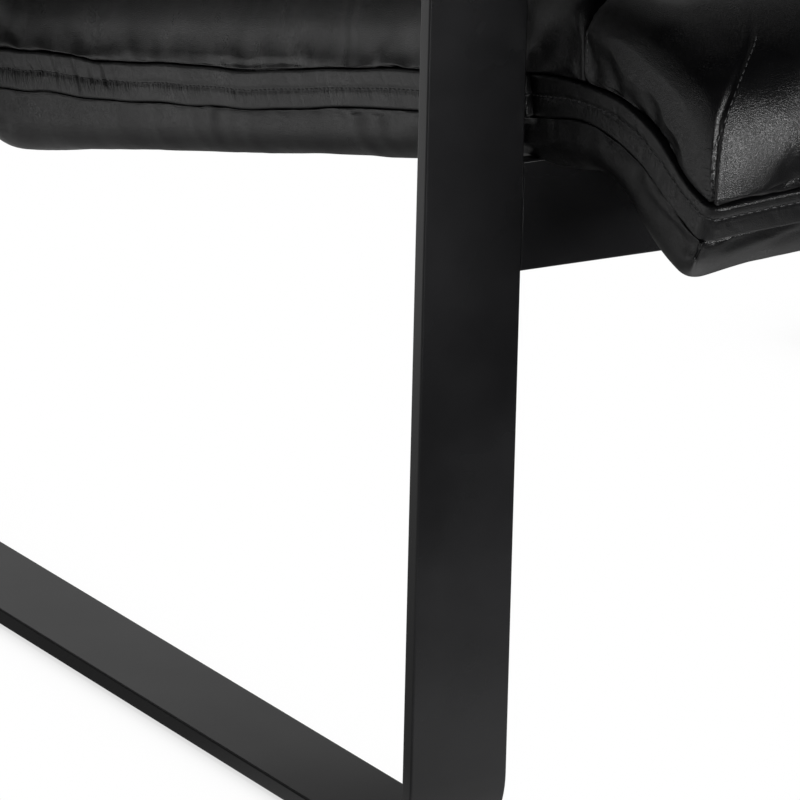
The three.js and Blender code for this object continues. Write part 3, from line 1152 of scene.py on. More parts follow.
@dataclass
class FloorGlides:
    """The four round glides under the runners."""

    nylon: Material
    chamfer: float = 0.0005
    chamfer_round: float = 0.3
    dish: float = 0.0002
    dish_share: float = 0.35
    flat_share: float = 0.8
    segments: int = 48

    def build(self) -> None:
        """Turn a glide for each of the construction's."""
        for end in ("front", "rear"):
            for side in ("left", "right"):
                self._glide(f"{end}_{side}_foot", f"{end}_{side}_glide")

    def _glide(self, name: str, node: str) -> None:
        """Turn one glide.

        Args:
            name: name of the piece.
            node: the construction node that it stands for.
        """
        low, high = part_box(node)
        middle = (low + high) / 2
        radius, height = (high.x - low.x) / 2, high.z - low.z
        rounding = self.chamfer * self.chamfer_round
        profile = [
            (radius * self.dish_share, self.dish),
            (radius * self.flat_share, 0.0),
            (radius - self.chamfer, 0.0),
            (radius - rounding, rounding),
            (radius, self.chamfer),
            (radius, height),
        ]
        turn = np.arange(self.segments) * 2 * math.pi / self.segments
        rings = [
            np.stack([r * np.cos(turn), r * np.sin(turn), np.full_like(turn, z)], axis=1) for r, z in profile
        ]
        places = np.concatenate(rings) + [middle.x, middle.y, low.z]
        glide = add_mesh(name, places, loft_faces(self.segments, len(profile)))
        turn_outwards(glide)
        hand_over(glide, self.nylon, [node])


# Leather pads


@dataclass(frozen=True)
class Pad:
    """One stuffed leather pad on a face of the sling, with an upper pad's sizes if none are given."""

    name: str
    node: str
    layer: Layer
    start: float
    end: float
    round_start: bool
    round_end: bool
    wall: float = 0.018
    end_wall: float = 0.006
    shoulder: float = 0.023
    reach: float = 0.046
    crown: float = 0.010
    tuck: float = 0.0026
    slack: float = 0.022
    swell: float = 0.006
    fill: float = 0.8
    lean: float = math.radians(35)
    cell: float = 0.0062
    levels: int = 1

    @property
    def is_upper(self) -> bool:
        """Whether the sitter touches it."""
        return self.layer is Layer.UPPER


class Spots(NamedTuple):
    """Places on a pad before its stuffing: along the sling, across it, above the band, in from the side."""

    s: Array
    x: Array
    height: Array
    edge: Array


@dataclass(frozen=True)
class Fullness:
    """Extra depth of a lower pad: a sag at the rear of the seat, a nip by the post, full corners."""

    half_width: float
    belly: float = 0.0052
    belly_start: float = 0.32
    belly_place: float = 0.67
    belly_fade: float = 0.035
    crease_sag: float = 0.0095
    crease_place: float = 0.670
    crease_reach: float = 0.025
    nose: float = 0.0048
    nose_end: float = 0.14
    nose_run: float = 0.09
    nose_power: float = 1.5
    nip: float = 0.0017
    nip_place: float = 0.25
    nip_reach: float = 0.03
    corner: float = 0.0068
    corner_place: float = 0.035
    corner_width: float = 0.03

    def depth(self, pad: Pad, s: Array, x: Array) -> Array:
        """Extra depth of a pad, none on an upper one.

        Args:
            pad: the pad.
            s: places along the sling.
            x: places across it.

        Returns:
            The extra depth at each place.
        """
        if pad.is_upper:
            return np.zeros(np.broadcast(s, x).shape)
        share = np.clip((s - self.belly_start) / (self.belly_place - self.belly_start), 0, 1)
        past = np.maximum(0, s - self.belly_place)
        edge = self.half_width - np.abs(x)
        crease = self.crease_sag * bell(s - self.crease_place, self.crease_reach)
        sag = self.belly * share * bell(past, self.belly_fade) + crease
        nose = self.nose * np.clip((self.nose_end - s) / self.nose_run, 0, 1) ** self.nose_power
        sag = sag - self.nip * bell(s - self.nip_place, self.nip_reach)
        corner = self.corner * bell(s - self.corner_place, self.corner_place) * bell(edge, self.corner_width)
        return sag + nose + corner


@dataclass(frozen=True)
class Stuffing:
    """Simulated cloth that swells a pad's cover."""

    pressure: float = 4.0
    frames: int = 20
    quality: int = 5
    mass: float = 0.3
    stretch: float = 25
    shear: float = 8
    bend: float = 1.5
    damping: float = 2.0

    def swell(self, pad: Pad, points: Array, skin: Faces, held: Array) -> Array:
        """Swell a cover.

        Args:
            pad: the pad.
            points: the cover before stuffing.
            skin: its faces.
            held: numbers of the vertices that stay in place.

        Returns:
            The cover after stuffing, with no point moved by more than the pad's swell.
        """
        cover = add_mesh("cover", points, skin)
        turn_outwards(cover)
        middle = vertices_of(cover.data)
        self._make_cloth(cover, pad.slack, held)
        scene = bpy.context.scene
        for step in range(1, self.frames + 1):
            scene.frame_set(step)
        graph = bpy.context.evaluated_depsgraph_get()
        stuffed = vertices_of(cover.evaluated_get(graph).data)
        scene.frame_set(1)
        bpy.data.objects.remove(cover)
        move = stuffed - middle
        distance = np.linalg.norm(move, axis=1, keepdims=True)
        limited = pad.swell * np.tanh(distance / pad.swell)
        LOG.info("%s swells by up to %.1f mm before its limit", pad.name, 1000 * distance.max())
        return points + move * limited / np.maximum(distance, TINY)

    def _make_cloth(self, cover: Piece, slack: float, held: Array) -> None:
        """Give a cover its cloth.

        Args:
            cover: the cover.
            slack: how much larger the leather is cut than the pad.
            held: numbers of the vertices that stay in place.
        """
        sewn = cover.vertex_groups.new(name="sewn")
        sewn.add(held.tolist(), 1.0, "REPLACE")
        cloth = cover.modifiers.new("stuffing", "CLOTH")
        cloth.collision_settings.use_collision = False
        settings = cloth.settings
        settings.quality = self.quality
        settings.mass = self.mass
        settings.tension_stiffness = settings.compression_stiffness = self.stretch
        settings.shear_stiffness = self.shear
        settings.bending_stiffness = self.bend
        settings.air_damping = self.damping
        settings.use_pressure = True
        settings.uniform_pressure_force = self.pressure
        settings.shrink_min = -slack
        settings.vertex_group_mass = sewn.name
        settings.effector_weights.gravity = 0


@dataclass(frozen=True)
class UpperFolds:
    """Folds of an upper pad: streaks and waves on its walls, ripples beside its cross seams."""

    wall_reach: float = 0.016
    wall_lean: float = 0.5
    patches: Fold = Fold(1.0, 0.10, 1.0, 3.0)
    patch_share: float = 0.45
    side_step: float = 3.5
    streaks: Fold = Fold(0.00032, 0.0065, 0.030, 11.0)
    waves: Fold = Fold(0.0008, 0.024, 0.028, 13.0)
    swells: Fold = Fold(0.0009, 0.075, 0.11, 21.0)
    slants: Fold = Fold(0.00035, 0.021, 0.06, 23.0)
    slant: float = 0.4
    ripples: tuple[Fold, ...] = (Fold(1.0, 0.009, 0.05, 31.0), Fold(0.5, 0.021, 0.05, 37.0))
    ripple_depth: float = 0.00075
    ripple_reach: float = 0.013
    panel_seam: float = 0.3085
    panel_groove: float = 0.0005
    panel_width: float = 0.0028
    panel_lip: float = 0.00025
    lip_offset: float = 0.004
    panel_share: float = 0.35
    panel_reach: float = 0.05

    def rise(self, pad: Pad, spots: Spots) -> Array:
        """Height of the folds.

        Args:
            pad: the pad.
            spots: places on it.

        Returns:
            The rise at each place.
        """
        s, x, height, edge = spots
        on_wall = bell(edge, self.wall_reach)
        patch = np.clip(self.patch_share + self.patches.at(s, np.sign(x) * self.side_step), 0, 1)
        leaning = s + self.wall_lean * height
        rise = self.streaks.at(leaning, height - self.wall_lean * s) * patch * on_wall
        rise += self.waves.at(leaning, height) * on_wall
        rise += self.swells.at(s, x) * (1 - on_wall)
        rise += self.slants.at(s + self.slant * x, x - self.slant * s) * (1 - on_wall)
        for butt, distance in ((not pad.round_start, s - pad.start), (not pad.round_end, pad.end - s)):
            if butt:
                ripple = sum(fold.at(x, distance) for fold in self.ripples)
                rise += self.ripple_depth * ripple * np.exp(-distance / self.ripple_reach) * (1 - on_wall)
        if pad.start < self.panel_seam < pad.end:
            seam = s - self.panel_seam
            fade = self.panel_share + (1 - self.panel_share) * bell(edge, self.panel_reach)
            lip = self.panel_lip * bell(seam - self.lip_offset, self.lip_offset)
            rise += fade * (lip - self.panel_groove * bell(seam, self.panel_width))
        return rise


@dataclass(frozen=True)
class LowerFolds:
    """Folds of a lower pad: puckers under the band's seam and slack waves below."""

    sling_length: float
    wall_reach: float = 0.016
    patches: Fold = Fold(0.5, 0.09, 1.0, 41.0)
    patch_share: float = 0.75
    least_patch: float = 0.3
    side_step: float = 2.5
    dent_depth: float = 0.0012
    dent_height: float = 0.0045
    dent_spacing: float = 0.020
    dent_width: float = 0.0050
    dent_seed: float = 43.0
    dent_share: float = 0.5
    dent_shift: float = 0.17
    tugs: tuple[float, ...] = (0.283, 0.304, 0.442, 0.460, 0.498, 0.536)
    tug_shift: float = 0.03
    wrinkles: Fold = Fold(0.0003, 0.009, 0.02, 47.0)
    wrinkle_lean: float = 0.3
    waves: Fold = Fold(0.0008, 0.06, 0.09, 53.0)

    def rise(self, pad: Pad, spots: Spots) -> Array:
        """Height of the folds.

        Args:
            pad: the pad.
            spots: places on it.

        Returns:
            The rise at each place.
        """
        s, x, height, edge = spots
        right = x > 0
        start = s if pad.round_start else np.inf
        end = self.sling_length - s if pad.round_end else np.inf
        ends = np.minimum(start, end)
        run = np.where(edge < ends, s, x)
        near = bell(np.minimum(edge, ends), self.wall_reach)
        patch = self.patch_share + self.patches.at(run, np.sign(x) * self.side_step)
        patch = np.clip(patch, self.least_patch, 1)
        shifted = run + self.dent_shift * right
        row = scattered(shifted, self.dent_spacing, self.dent_width, self.dent_seed)
        dents = self.dent_share * patch * row
        dents += sum(bell(run - tug - self.tug_shift * right, self.dent_width) for tug in self.tugs)
        depth = np.maximum(0, height) / self.dent_height
        rise = -self.dent_depth * dents * near * depth * np.exp(1 - depth)
        rise += self.wrinkles.at(run - self.wrinkle_lean * height, height) * near * patch
        rise += self.waves.at(s, x) * (1 - near)
        return rise


@dataclass(frozen=True)
class Darts:
    """Corner seams at a pad's round ends, each a fine groove between two lips."""

    sling_length: float
    setback: float = 0.0135
    least_setback: float = 0.1
    upper_lean: float = 1.04
    lower_lean: float = 1.0
    height: float = 0.032
    length: float = 0.085
    fade: float = 0.004
    groove: float = 0.0013
    inner_lip: float = 0.0003
    outer_lip: float = 0.0002
    lip_offset: float = 0.0019
    width: float = 0.0009
    lower_share: float = 0.5
    lower_height: float = 0.014
    lower_fade: float = 0.006
    gathers: float = 0.8
    gather_height: float = 0.012
    gather_fade: float = 0.010
    reach: float = 0.1

    def set_in(self, height: Array | float) -> Array | float:
        """How far an upper pad's seam lies in from its corner, by the height above the band."""
        return self.setback * np.clip(height / self.height, self.least_setback, 1)

    def places(self, pad: Pad, spots: Spots) -> Array:
        """Places on the nearest corner seam.

        Args:
            pad: the pad.
            spots: places on it.

        Returns:
            A row for each place: along the seam, up from it towards the middle, and how strongly the
            leather gathers there.
        """
        s, _, height, gap = spots
        setback = self.set_in(height) if pad.is_upper else 0.0
        lean = self.upper_lean if pad.is_upper else self.lower_lean
        strength = self.gathers * bell(np.maximum(0, height - self.gather_height), self.gather_fade)
        found = np.tile([1.0, 1.0, 0.0], (len(s), 1))
        for rounded, end in ((pad.round_start, s), (pad.round_end, self.sling_length - s)):
            if rounded:
                level = (lean * gap + setback - end) / math.hypot(1, lean)
                near = end < self.reach
                found[near, 0] = ((end + gap) / 2 + height)[near]
                found[near, 1] = level[near]
                found[near, 2] = strength[near]
        return found

    def rise(self, pad: Pad, spots: Spots) -> Array:
        """Height of the lips and depth of the groove.

        Args:
            pad: the pad.
            spots: places on it.

        Returns:
            The rise at each place.
        """
        run, level, _ = self.places(pad, spots).T
        fade = 1 / (1 + np.exp((run - self.length) / self.fade))
        inner = self.inner_lip * bell(level - self.lip_offset, self.width)
        lips = inner + self.outer_lip * bell(level + self.lip_offset, self.width)
        above = np.maximum(0, spots.height - self.lower_height)
        depth = 1.0 if pad.is_upper else self.lower_share * bell(above, self.lower_fade)
        return depth * fade * (lips - self.groove * bell(level, self.width))


@dataclass(frozen=True)
class PostFit:
    """How a pad's side wall meets the front post: it swells there, and draws in ahead of it."""

    half_width: float
    place: float = 0.1585
    reach: float = 0.0065
    bulge: float = 0.0016
    wall_reach: float = 0.016
    side_limit: float = 0.0015
    upper_hollow: float = 0.0020
    lower_hollow: float = 0.0028
    hollow_ahead: float = 0.0200
    hollow_reach: float = 0.0110
    meet: float = 0.0013
    push_start: float = 0.012
    push_run: float = 0.03
    push_limit: float = 0.0012
    foot_reach: float = 0.0002
    foot_start: float = 0.0006
    foot_height: float = 0.0022
    foot_end: float = 0.018
    foot_fade: float = 0.008
    foot_depth: float = 0.0012

    def swelling(self, spots: Spots) -> Array:
        """Height of the wall's swelling at each place."""
        return self.bulge * bell(spots.s - self.place, self.reach) * bell(spots.edge, self.wall_reach)

    def limit(self, pad: Pad, spots: Spots) -> Array:
        """How far from the middle a pad may reach.

        Args:
            pad: the pad.
            spots: places on it.

        Returns:
            The limit at each place.
        """
        hollow = self.upper_hollow if pad.is_upper else self.lower_hollow
        ahead = spots.s - self.place + self.hollow_ahead
        return self.half_width + self.side_limit - hollow * bell(ahead, self.hollow_reach)

    def push(self, pad: Pad, spots: Spots, aside: Array) -> Array:
        """How far a side wall is pushed out beside the band, to stand upright and to meet the post.

        Args:
            pad: the pad.
            spots: places on it.
            aside: distances from the middle after the stuffing.

        Returns:
            The push at each place, never inwards.
        """
        s, _, height, edge = spots
        past_post = np.clip((s - self.place - self.push_start) / self.push_run, 0, 1) * pad.is_upper
        push = past_post * np.clip(self.half_width + self.foot_reach - aside, 0, self.push_limit)
        at_post = bell(s - self.place, self.reach)
        push = np.maximum(push, at_post * np.maximum(0, self.half_width + self.meet - aside))
        above = np.clip((height - self.foot_start) / self.foot_height, 0, 1)
        above = above * bell(np.maximum(0, height - self.foot_end), self.foot_fade)
        return push * above * bell(edge, self.foot_depth)


@dataclass
class Pads:
    """The stuffed pads: front roll, seat and back above the sling, seat and back below it."""

    line: SlingLine
    drape: Drape
    leather: Material
    gathered: Material
    stuffing: Stuffing = Stuffing()
    base: float = 0.0098
    roll_seam: float = 0.106
    seam_gap: float = 0.0003
    groove_depth: float = 0.0135
    groove_width: float = 0.011
    groove_tuck: float = 0.0012
    groove_power: float = 1.5
    base_margin: float = 0.010
    end_tuck: float = 0.0020
    tuck_reach: float = 0.07
    corner_round: float = 0.10
    corner_power: float = 3.5
    side_power: float = 2.6
    lower_power: float = 2.0
    power_reach: float = 0.05
    seam_ease: float = 0.8
    shoulder_steps: int = 10
    groove_steps: int = 5
    wall_steps: int = 4
    tuck_steps: int = 5
    still_height: float = 0.0004
    hold_margin: float = 0.008
    rail_margin: float = 0.0015
    rail_gap: float = 0.0004
    rail_dent: float = 0.006
    dent_run: float = 0.008
    dent_reach: float = 0.02
    made: dict[str, Piece] = field(default_factory=dict)
    fullness: Fullness = field(init=False)
    folds: dict[Layer, UpperFolds | LowerFolds] = field(init=False)
    darts: Darts = field(init=False)
    post: PostFit = field(init=False)

    def __post_init__(self) -> None:
        """Fit the folds and seams to the sling's width and length."""
        half, length = self.half_width, self.line.length
        self.fullness = Fullness(half)
        self.folds = {Layer.UPPER: UpperFolds(), Layer.LOWER: LowerFolds(length)}
        self.darts = Darts(length)
        self.post = PostFit(half)

    @property
    def half_width(self) -> float:
        """Half of the sling's width."""
        return self.drape.half_width

    def plan(self) -> list[Pad]:
        """Lay out the pads.

        Returns:
            The five pads, each face from the front of the seat to the top of the back.
        """
        crease, half = self.line.crease_seam, self.seam_gap / 2
        lower = {
            "wall": 0.008,
            "end_wall": 0.007,
            "shoulder": 0.015,
            "reach": 0.016,
            "crown": 0.0,
            "tuck": 0.0013,
            "slack": 0.006,
            "swell": 0.0016,
            "fill": 0.7,
            "lean": 0.0,
        }
        seam, top = self.roll_seam, self.line.length
        over, under = Layer.UPPER, Layer.LOWER
        return [
            Pad("front_roll", "front_roll_pad", over, 0, seam - half, True, False, cell=0.0045, levels=2),
            Pad("seat_cushion", "seat_pad", over, seam + half, crease - half, False, False),
            Pad("back_cushion", "back_pad", over, crease + half, top, False, True),
            Pad("seat_underside", "seat_underside_pad", under, 0, crease - half, True, False, **lower),
            Pad("back_underside", "back_underside_pad", under, crease + half, top, False, True, **lower),
        ]

    def build(self) -> None:
        """Sew, stuff and crease every pad."""
        for pad in self.plan():
            places, skin, closing, pinned = self._shell(pad)
            points = self.line.points(*places.T)
            held = np.concatenate([pinned, self._held_by_frame(pad, points)])
            points = self.stuffing.swell(pad, points, skin, held)
            piece = add_mesh(pad.name, points, skin + closing)
            turn_outwards(piece)
            mark_vertices(piece.data, PLACE_MARK, places)
            smooth = piece.modifiers.new("smooth", "SUBSURF")
            smooth.levels = smooth.render_levels = pad.levels
            settle(piece)
            self._crease(pad, piece)
            cover = self.gathered if pad.is_upper else self.leather
            hand_over(piece, cover, [pad.node])
            self.made[pad.name] = piece

    def _end_rows(self, pad: Pad, at_start: bool) -> list[tuple[float, float, int, float]]:
        """Rows of a pad's grid at one end, from its edge inwards.

        Args:
            pad: the pad.
            at_start: whether it is the end nearer the front of the sling.

        Returns:
            Place, edge weight, edge direction and groove weight of each row.
        """
        place, way = (pad.start, -1) if at_start else (pad.end, 1)
        if pad.round_start if at_start else pad.round_end:
            weights = np.cos(np.linspace(0, math.pi / 2, self.shoulder_steps + 1))
            return [(place - way * pad.reach, weight, way, 0.0) for weight in weights]
        share = np.linspace(0, 1, self.groove_steps + 1) ** self.groove_power
        depth = 1 - np.sqrt(1 - (1 - share) ** 2)
        return [(place - way * self.groove_width * a, 0.0, 0, b) for a, b in zip(share, depth)]

    def _rows(self, pad: Pad) -> Array:
        """Rows of a pad's grid.

        Args:
            pad: the pad.

        Returns:
            Place, edge weight, edge direction and groove weight of each row.
        """
        first = self._end_rows(pad, True)
        last = self._end_rows(pad, False)[::-1]
        low, high = first[-1][0], last[0][0]
        steps = round((high - low) / pad.cell)
        middle = [(place, 0.0, 0, 0.0) for place in np.linspace(low, high, steps + 1)[1:-1]]
        return np.array(first + middle + last)

    def _columns(self, pad: Pad) -> Array:
        """Columns of a pad's grid.

        Args:
            pad: the pad.

        Returns:
            Place, edge weight and edge direction of each column.
        """
        inner = self.half_width - pad.shoulder
        weights = np.cos(np.linspace(0, math.pi / 2, self.shoulder_steps + 1))[:-1]
        left = [(-inner, weight, -1) for weight in weights]
        right = [(inner, weight, 1) for weight in weights[::-1]]
        steps = round(2 * inner / pad.cell)
        middle = [(place, 0.0, 0) for place in np.linspace(-inner, inner, steps + 1)]
        return np.array(left + middle + right)

    def _shell(self, pad: Pad) -> tuple[Array, Faces, Faces, Array]:
        """A pad's cover as places on the sling.

        Args:
            pad: the pad to cover.

        Returns:
            Places of the vertices, faces of the cover, faces that close its base, and the vertices
            that are sewn down.
        """
        rows, columns = self._rows(pad), self._columns(pad)
        shape = (len(rows), len(columns))
        number = np.arange(shape[0] * shape[1]).reshape(shape)
        rim = np.concatenate([number[0, :-1], number[:-1, -1], number[-1, :0:-1], number[:0:-1, 0]])
        butt = np.zeros(shape)
        butt[0, :] = 0 if pad.round_start else -1
        butt[-1, :] = 0 if pad.round_end else 1
        butt = butt.ravel()[rim]
        cover = self._cover(pad, rows, columns)
        places = np.concatenate([cover[:, :3], *self._skirt(pad, cover[rim], butt)])
        rise = self.drape.seam(places[:, 0], places[:, 1], pad.layer.value)
        rise *= np.clip(1 - (places[:, 2] - self.base) / pad.wall, 0, 1)
        rise += self.drape.crown(places[:, 0], places[:, 1])
        rise[-len(rim) :] = 0
        places[:, 2] = pad.layer.value * places[:, 2] + rise
        return places, *self._faces(shape, rim), self._sewn(pad, shape, rim, butt)

    def _cover(self, pad: Pad, rows: Array, columns: Array) -> Array:
        """The crowned face of a pad, before its seams wander.

        Args:
            pad: the pad.
            rows: rows of its grid.
            columns: columns of its grid.

        Returns:
            A row for each vertex of the grid: its place on the sling, and its direction out of the grid
            along and across.
        """
        row_place, row_weight, row_way, groove = (value[:, None] for value in rows.T)
        column_place, column_weight, column_way = (value[None, :] for value in columns.T)
        along = row_weight * np.sqrt(1 - self.corner_round * column_weight**2 / 2)
        aside = column_weight * np.sqrt(1 - self.corner_round * row_weight**2 / 2)
        s = row_place + row_way * pad.reach * along
        x = column_place + column_way * (pad.shoulder * aside - groove * self.groove_tuck * column_weight)
        inner = self.half_width - pad.shoulder
        bow = (1 - np.minimum(1, np.abs(column_place) / inner) ** 2) * np.sqrt(1 - row_weight**2)
        leaning = math.sin(pad.lean)
        rounding = (np.sqrt(1 - (math.cos(pad.lean) * row_weight) ** 2) - leaning) / (1 - leaning)
        ends = np.minimum(s, self.line.length - s)
        power = self.lower_power
        if pad.is_upper:
            power = self.side_power - self.seam_ease * bell(s - self.roll_seam, self.power_reach)
            power = power + (self.corner_power - power) * bell(ends, self.power_reach)
        dome = rounding * (1 - column_weight**power) ** (1 / power)
        wall = pad.wall + (pad.end_wall - pad.wall) * row_weight**2
        depth = wall + (pad.wall + pad.shoulder - wall) * dome + pad.crown * bow - groove * self.groove_depth
        n = self.base + depth * (1 + self.fullness.depth(pad, s, x) / (pad.wall + pad.shoulder))
        size = np.maximum(np.hypot(row_weight, column_weight), TINY)
        values = (s, x, n, row_way * row_weight / size, column_way * column_weight / size)
        shape = (len(rows), len(columns))
        return np.stack([np.broadcast_to(value, shape).ravel() for value in values], axis=1)

    def _skirt(self, pad: Pad, rim: Array, butt: Array) -> list[Array]:
        """Rings of places below a cover: down its wall, round its tuck and in under its base.

        Args:
            pad: the pad.
            rim: places of the cover's rim, with their directions out.
            butt: -1 or 1 where the rim meets another pad in front or behind, or else 0.

        Returns:
            The rings, from the top down.
        """
        rim_s, rim_x, rim_n, out_s, out_x = rim.T
        ends = np.minimum(rim_s, self.line.length - rim_s)
        tuck = pad.tuck + (self.end_tuck * bell(ends, self.tuck_reach) if pad.is_upper else 0.0)
        foot = self.base + tuck
        rings = []
        for step in range(1, self.wall_steps + 1):
            height = foot + (rim_n - foot) * (1 - step / self.wall_steps)
            rings.append(np.stack([rim_s, rim_x, height], axis=1))
        for step in range(1, self.tuck_steps + 1):
            sweep = step / self.tuck_steps * math.pi / 2
            inset = tuck * (1 - math.cos(sweep))
            height = np.full_like(rim_s, self.base) + tuck * (1 - math.sin(sweep))
            rings.append(np.stack([rim_s - out_s * inset, rim_x - out_x * inset, height], axis=1))
        inset = tuck + self.base_margin
        inner_s = rim_s - out_s * inset - butt * self.base_margin
        rings.append(np.stack([inner_s, rim_x - out_x * inset, np.full_like(rim_s, self.base)], axis=1))
        return rings

    def _faces(self, shape: tuple[int, int], rim: Array) -> tuple[Faces, Faces]:
        """Faces of a pad.

        Args:
            shape: rows and columns of its grid.
            rim: numbers of the vertices round the grid.

        Returns:
            Faces of the cover and of the base.
        """
        count, around = shape[0] * shape[1], len(rim)
        skin = grid_faces(*shape)
        ring = rim
        steps = self.wall_steps + self.tuck_steps
        for level in range(steps):
            lower = count + level * around + np.arange(around)
            skin += strip_faces(ring, lower)
            ring = lower
        base = ring + around
        closing = strip_faces(ring, base)
        across, down = shape[1] - 1, shape[0] - 1
        front, right = base[: across + 1], base[across : across + down + 1]
        rear = base[across + down : 2 * across + down + 1]
        left = np.append(base[2 * across + down :], base[0])[::-1]
        closing.append(tuple([*front.tolist(), int(right[1]), int(left[1])]))
        for row in range(1, down - 1):
            closing.append((int(left[row]), int(right[row]), int(right[row + 1]), int(left[row + 1])))
        closing.append(tuple([int(left[-2]), int(right[-2]), *rear.tolist()]))
        return skin, closing

    def _sewn(self, pad: Pad, shape: tuple[int, int], rim: Array, butt: Array) -> Array:
        """Vertices that are sewn down while a pad is stuffed.

        Args:
            pad: the pad.
            shape: rows and columns of its grid.
            rim: numbers of the vertices round the grid.
            butt: other than 0 where the rim meets another pad.

        Returns:
            Their numbers.
        """
        count, around = shape[0] * shape[1], len(rim)
        number = np.arange(count).reshape(shape)
        held = []
        if not pad.round_start:
            held.append(number[0])
        if not pad.round_end:
            held.append(number[-1])
        levels = self.wall_steps + self.tuck_steps + 1
        loose = self.wall_steps + self.tuck_steps // 2
        for level in range(levels):
            ring = count + level * around + np.arange(around)
            held.append(ring if level >= loose else ring[butt != 0])
        return np.concatenate(held)

    def _held_by_frame(self, pad: Pad, points: Array) -> Array:
        """Vertices that the rails and tabs hold in place, on a lower pad only.

        Args:
            pad: the pad.
            points: its cover.

        Returns:
            Their numbers.
        """
        if pad.is_upper:
            return np.empty(0, int)
        held = np.zeros(len(points), bool)
        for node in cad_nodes("_tab", "_cross_rail"):
            low, high = (np.array(corner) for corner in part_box(node))
            inside = (points > low - self.hold_margin) & (points < high + self.hold_margin)
            held |= inside.all(axis=1)
        return np.flatnonzero(held)

    def _crease(self, pad: Pad, piece: Piece) -> None:
        """Add a pad's seams and folds along its normals, and keep it clear of the frame.

        Args:
            pad: the pad.
            piece: its stuffed mesh, with the marks of its places on the sling.
        """
        mesh = piece.data
        s, x, n = vectors_of(mesh.attributes[PLACE_MARK].data, "vector").T
        mesh.attributes.remove(mesh.attributes[PLACE_MARK])
        spots = Spots(s, x, np.abs(n) - self.base, self.half_width - np.abs(x))
        rise = self.folds[pad.layer].rise(pad, spots) + self.darts.rise(pad, spots)
        rise += self.post.swelling(spots)
        rise[spots.height < self.still_height] = 0
        points = vertices_of(mesh) + normals_of(mesh) * rise[:, None]
        limit = self.post.limit(pad, spots)
        points[:, 0] = np.clip(points[:, 0], -limit, limit)
        points[:, 0] += np.sign(x) * self.post.push(pad, spots, np.abs(points[:, 0]))
        mark_vertices(mesh, SEAM_MARK, self.darts.places(pad, spots))
        if not pad.is_upper:
            points = self._bed_rails(points)
        move_vertices(mesh, points)

    def _bed_rails(self, points: Array) -> Array:
        """Press the cross rails into a lower pad.

        Args:
            points: its vertices.

        Returns:
            The vertices, lifted off the rails.
        """
        margin = self.rail_margin
        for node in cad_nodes("_cross_rail"):
            low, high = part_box(node)
            y, z = points[:, 1], points[:, 2]
            outside = np.maximum(0, np.maximum(low.y - margin - y, y - high.y - margin))
            floor = high.z + self.rail_gap - self.rail_dent * (outside / self.dent_run) ** 2
            beside = (outside < self.dent_reach) & (z > low.z)
            points[:, 2] = np.where(beside, np.maximum(z, floor), z)
        return points


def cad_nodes(*endings: str) -> list[str]:
    """Names of the construction nodes with one of these endings."""
    return sorted(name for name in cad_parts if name.endswith(endings))


# The band between the pads


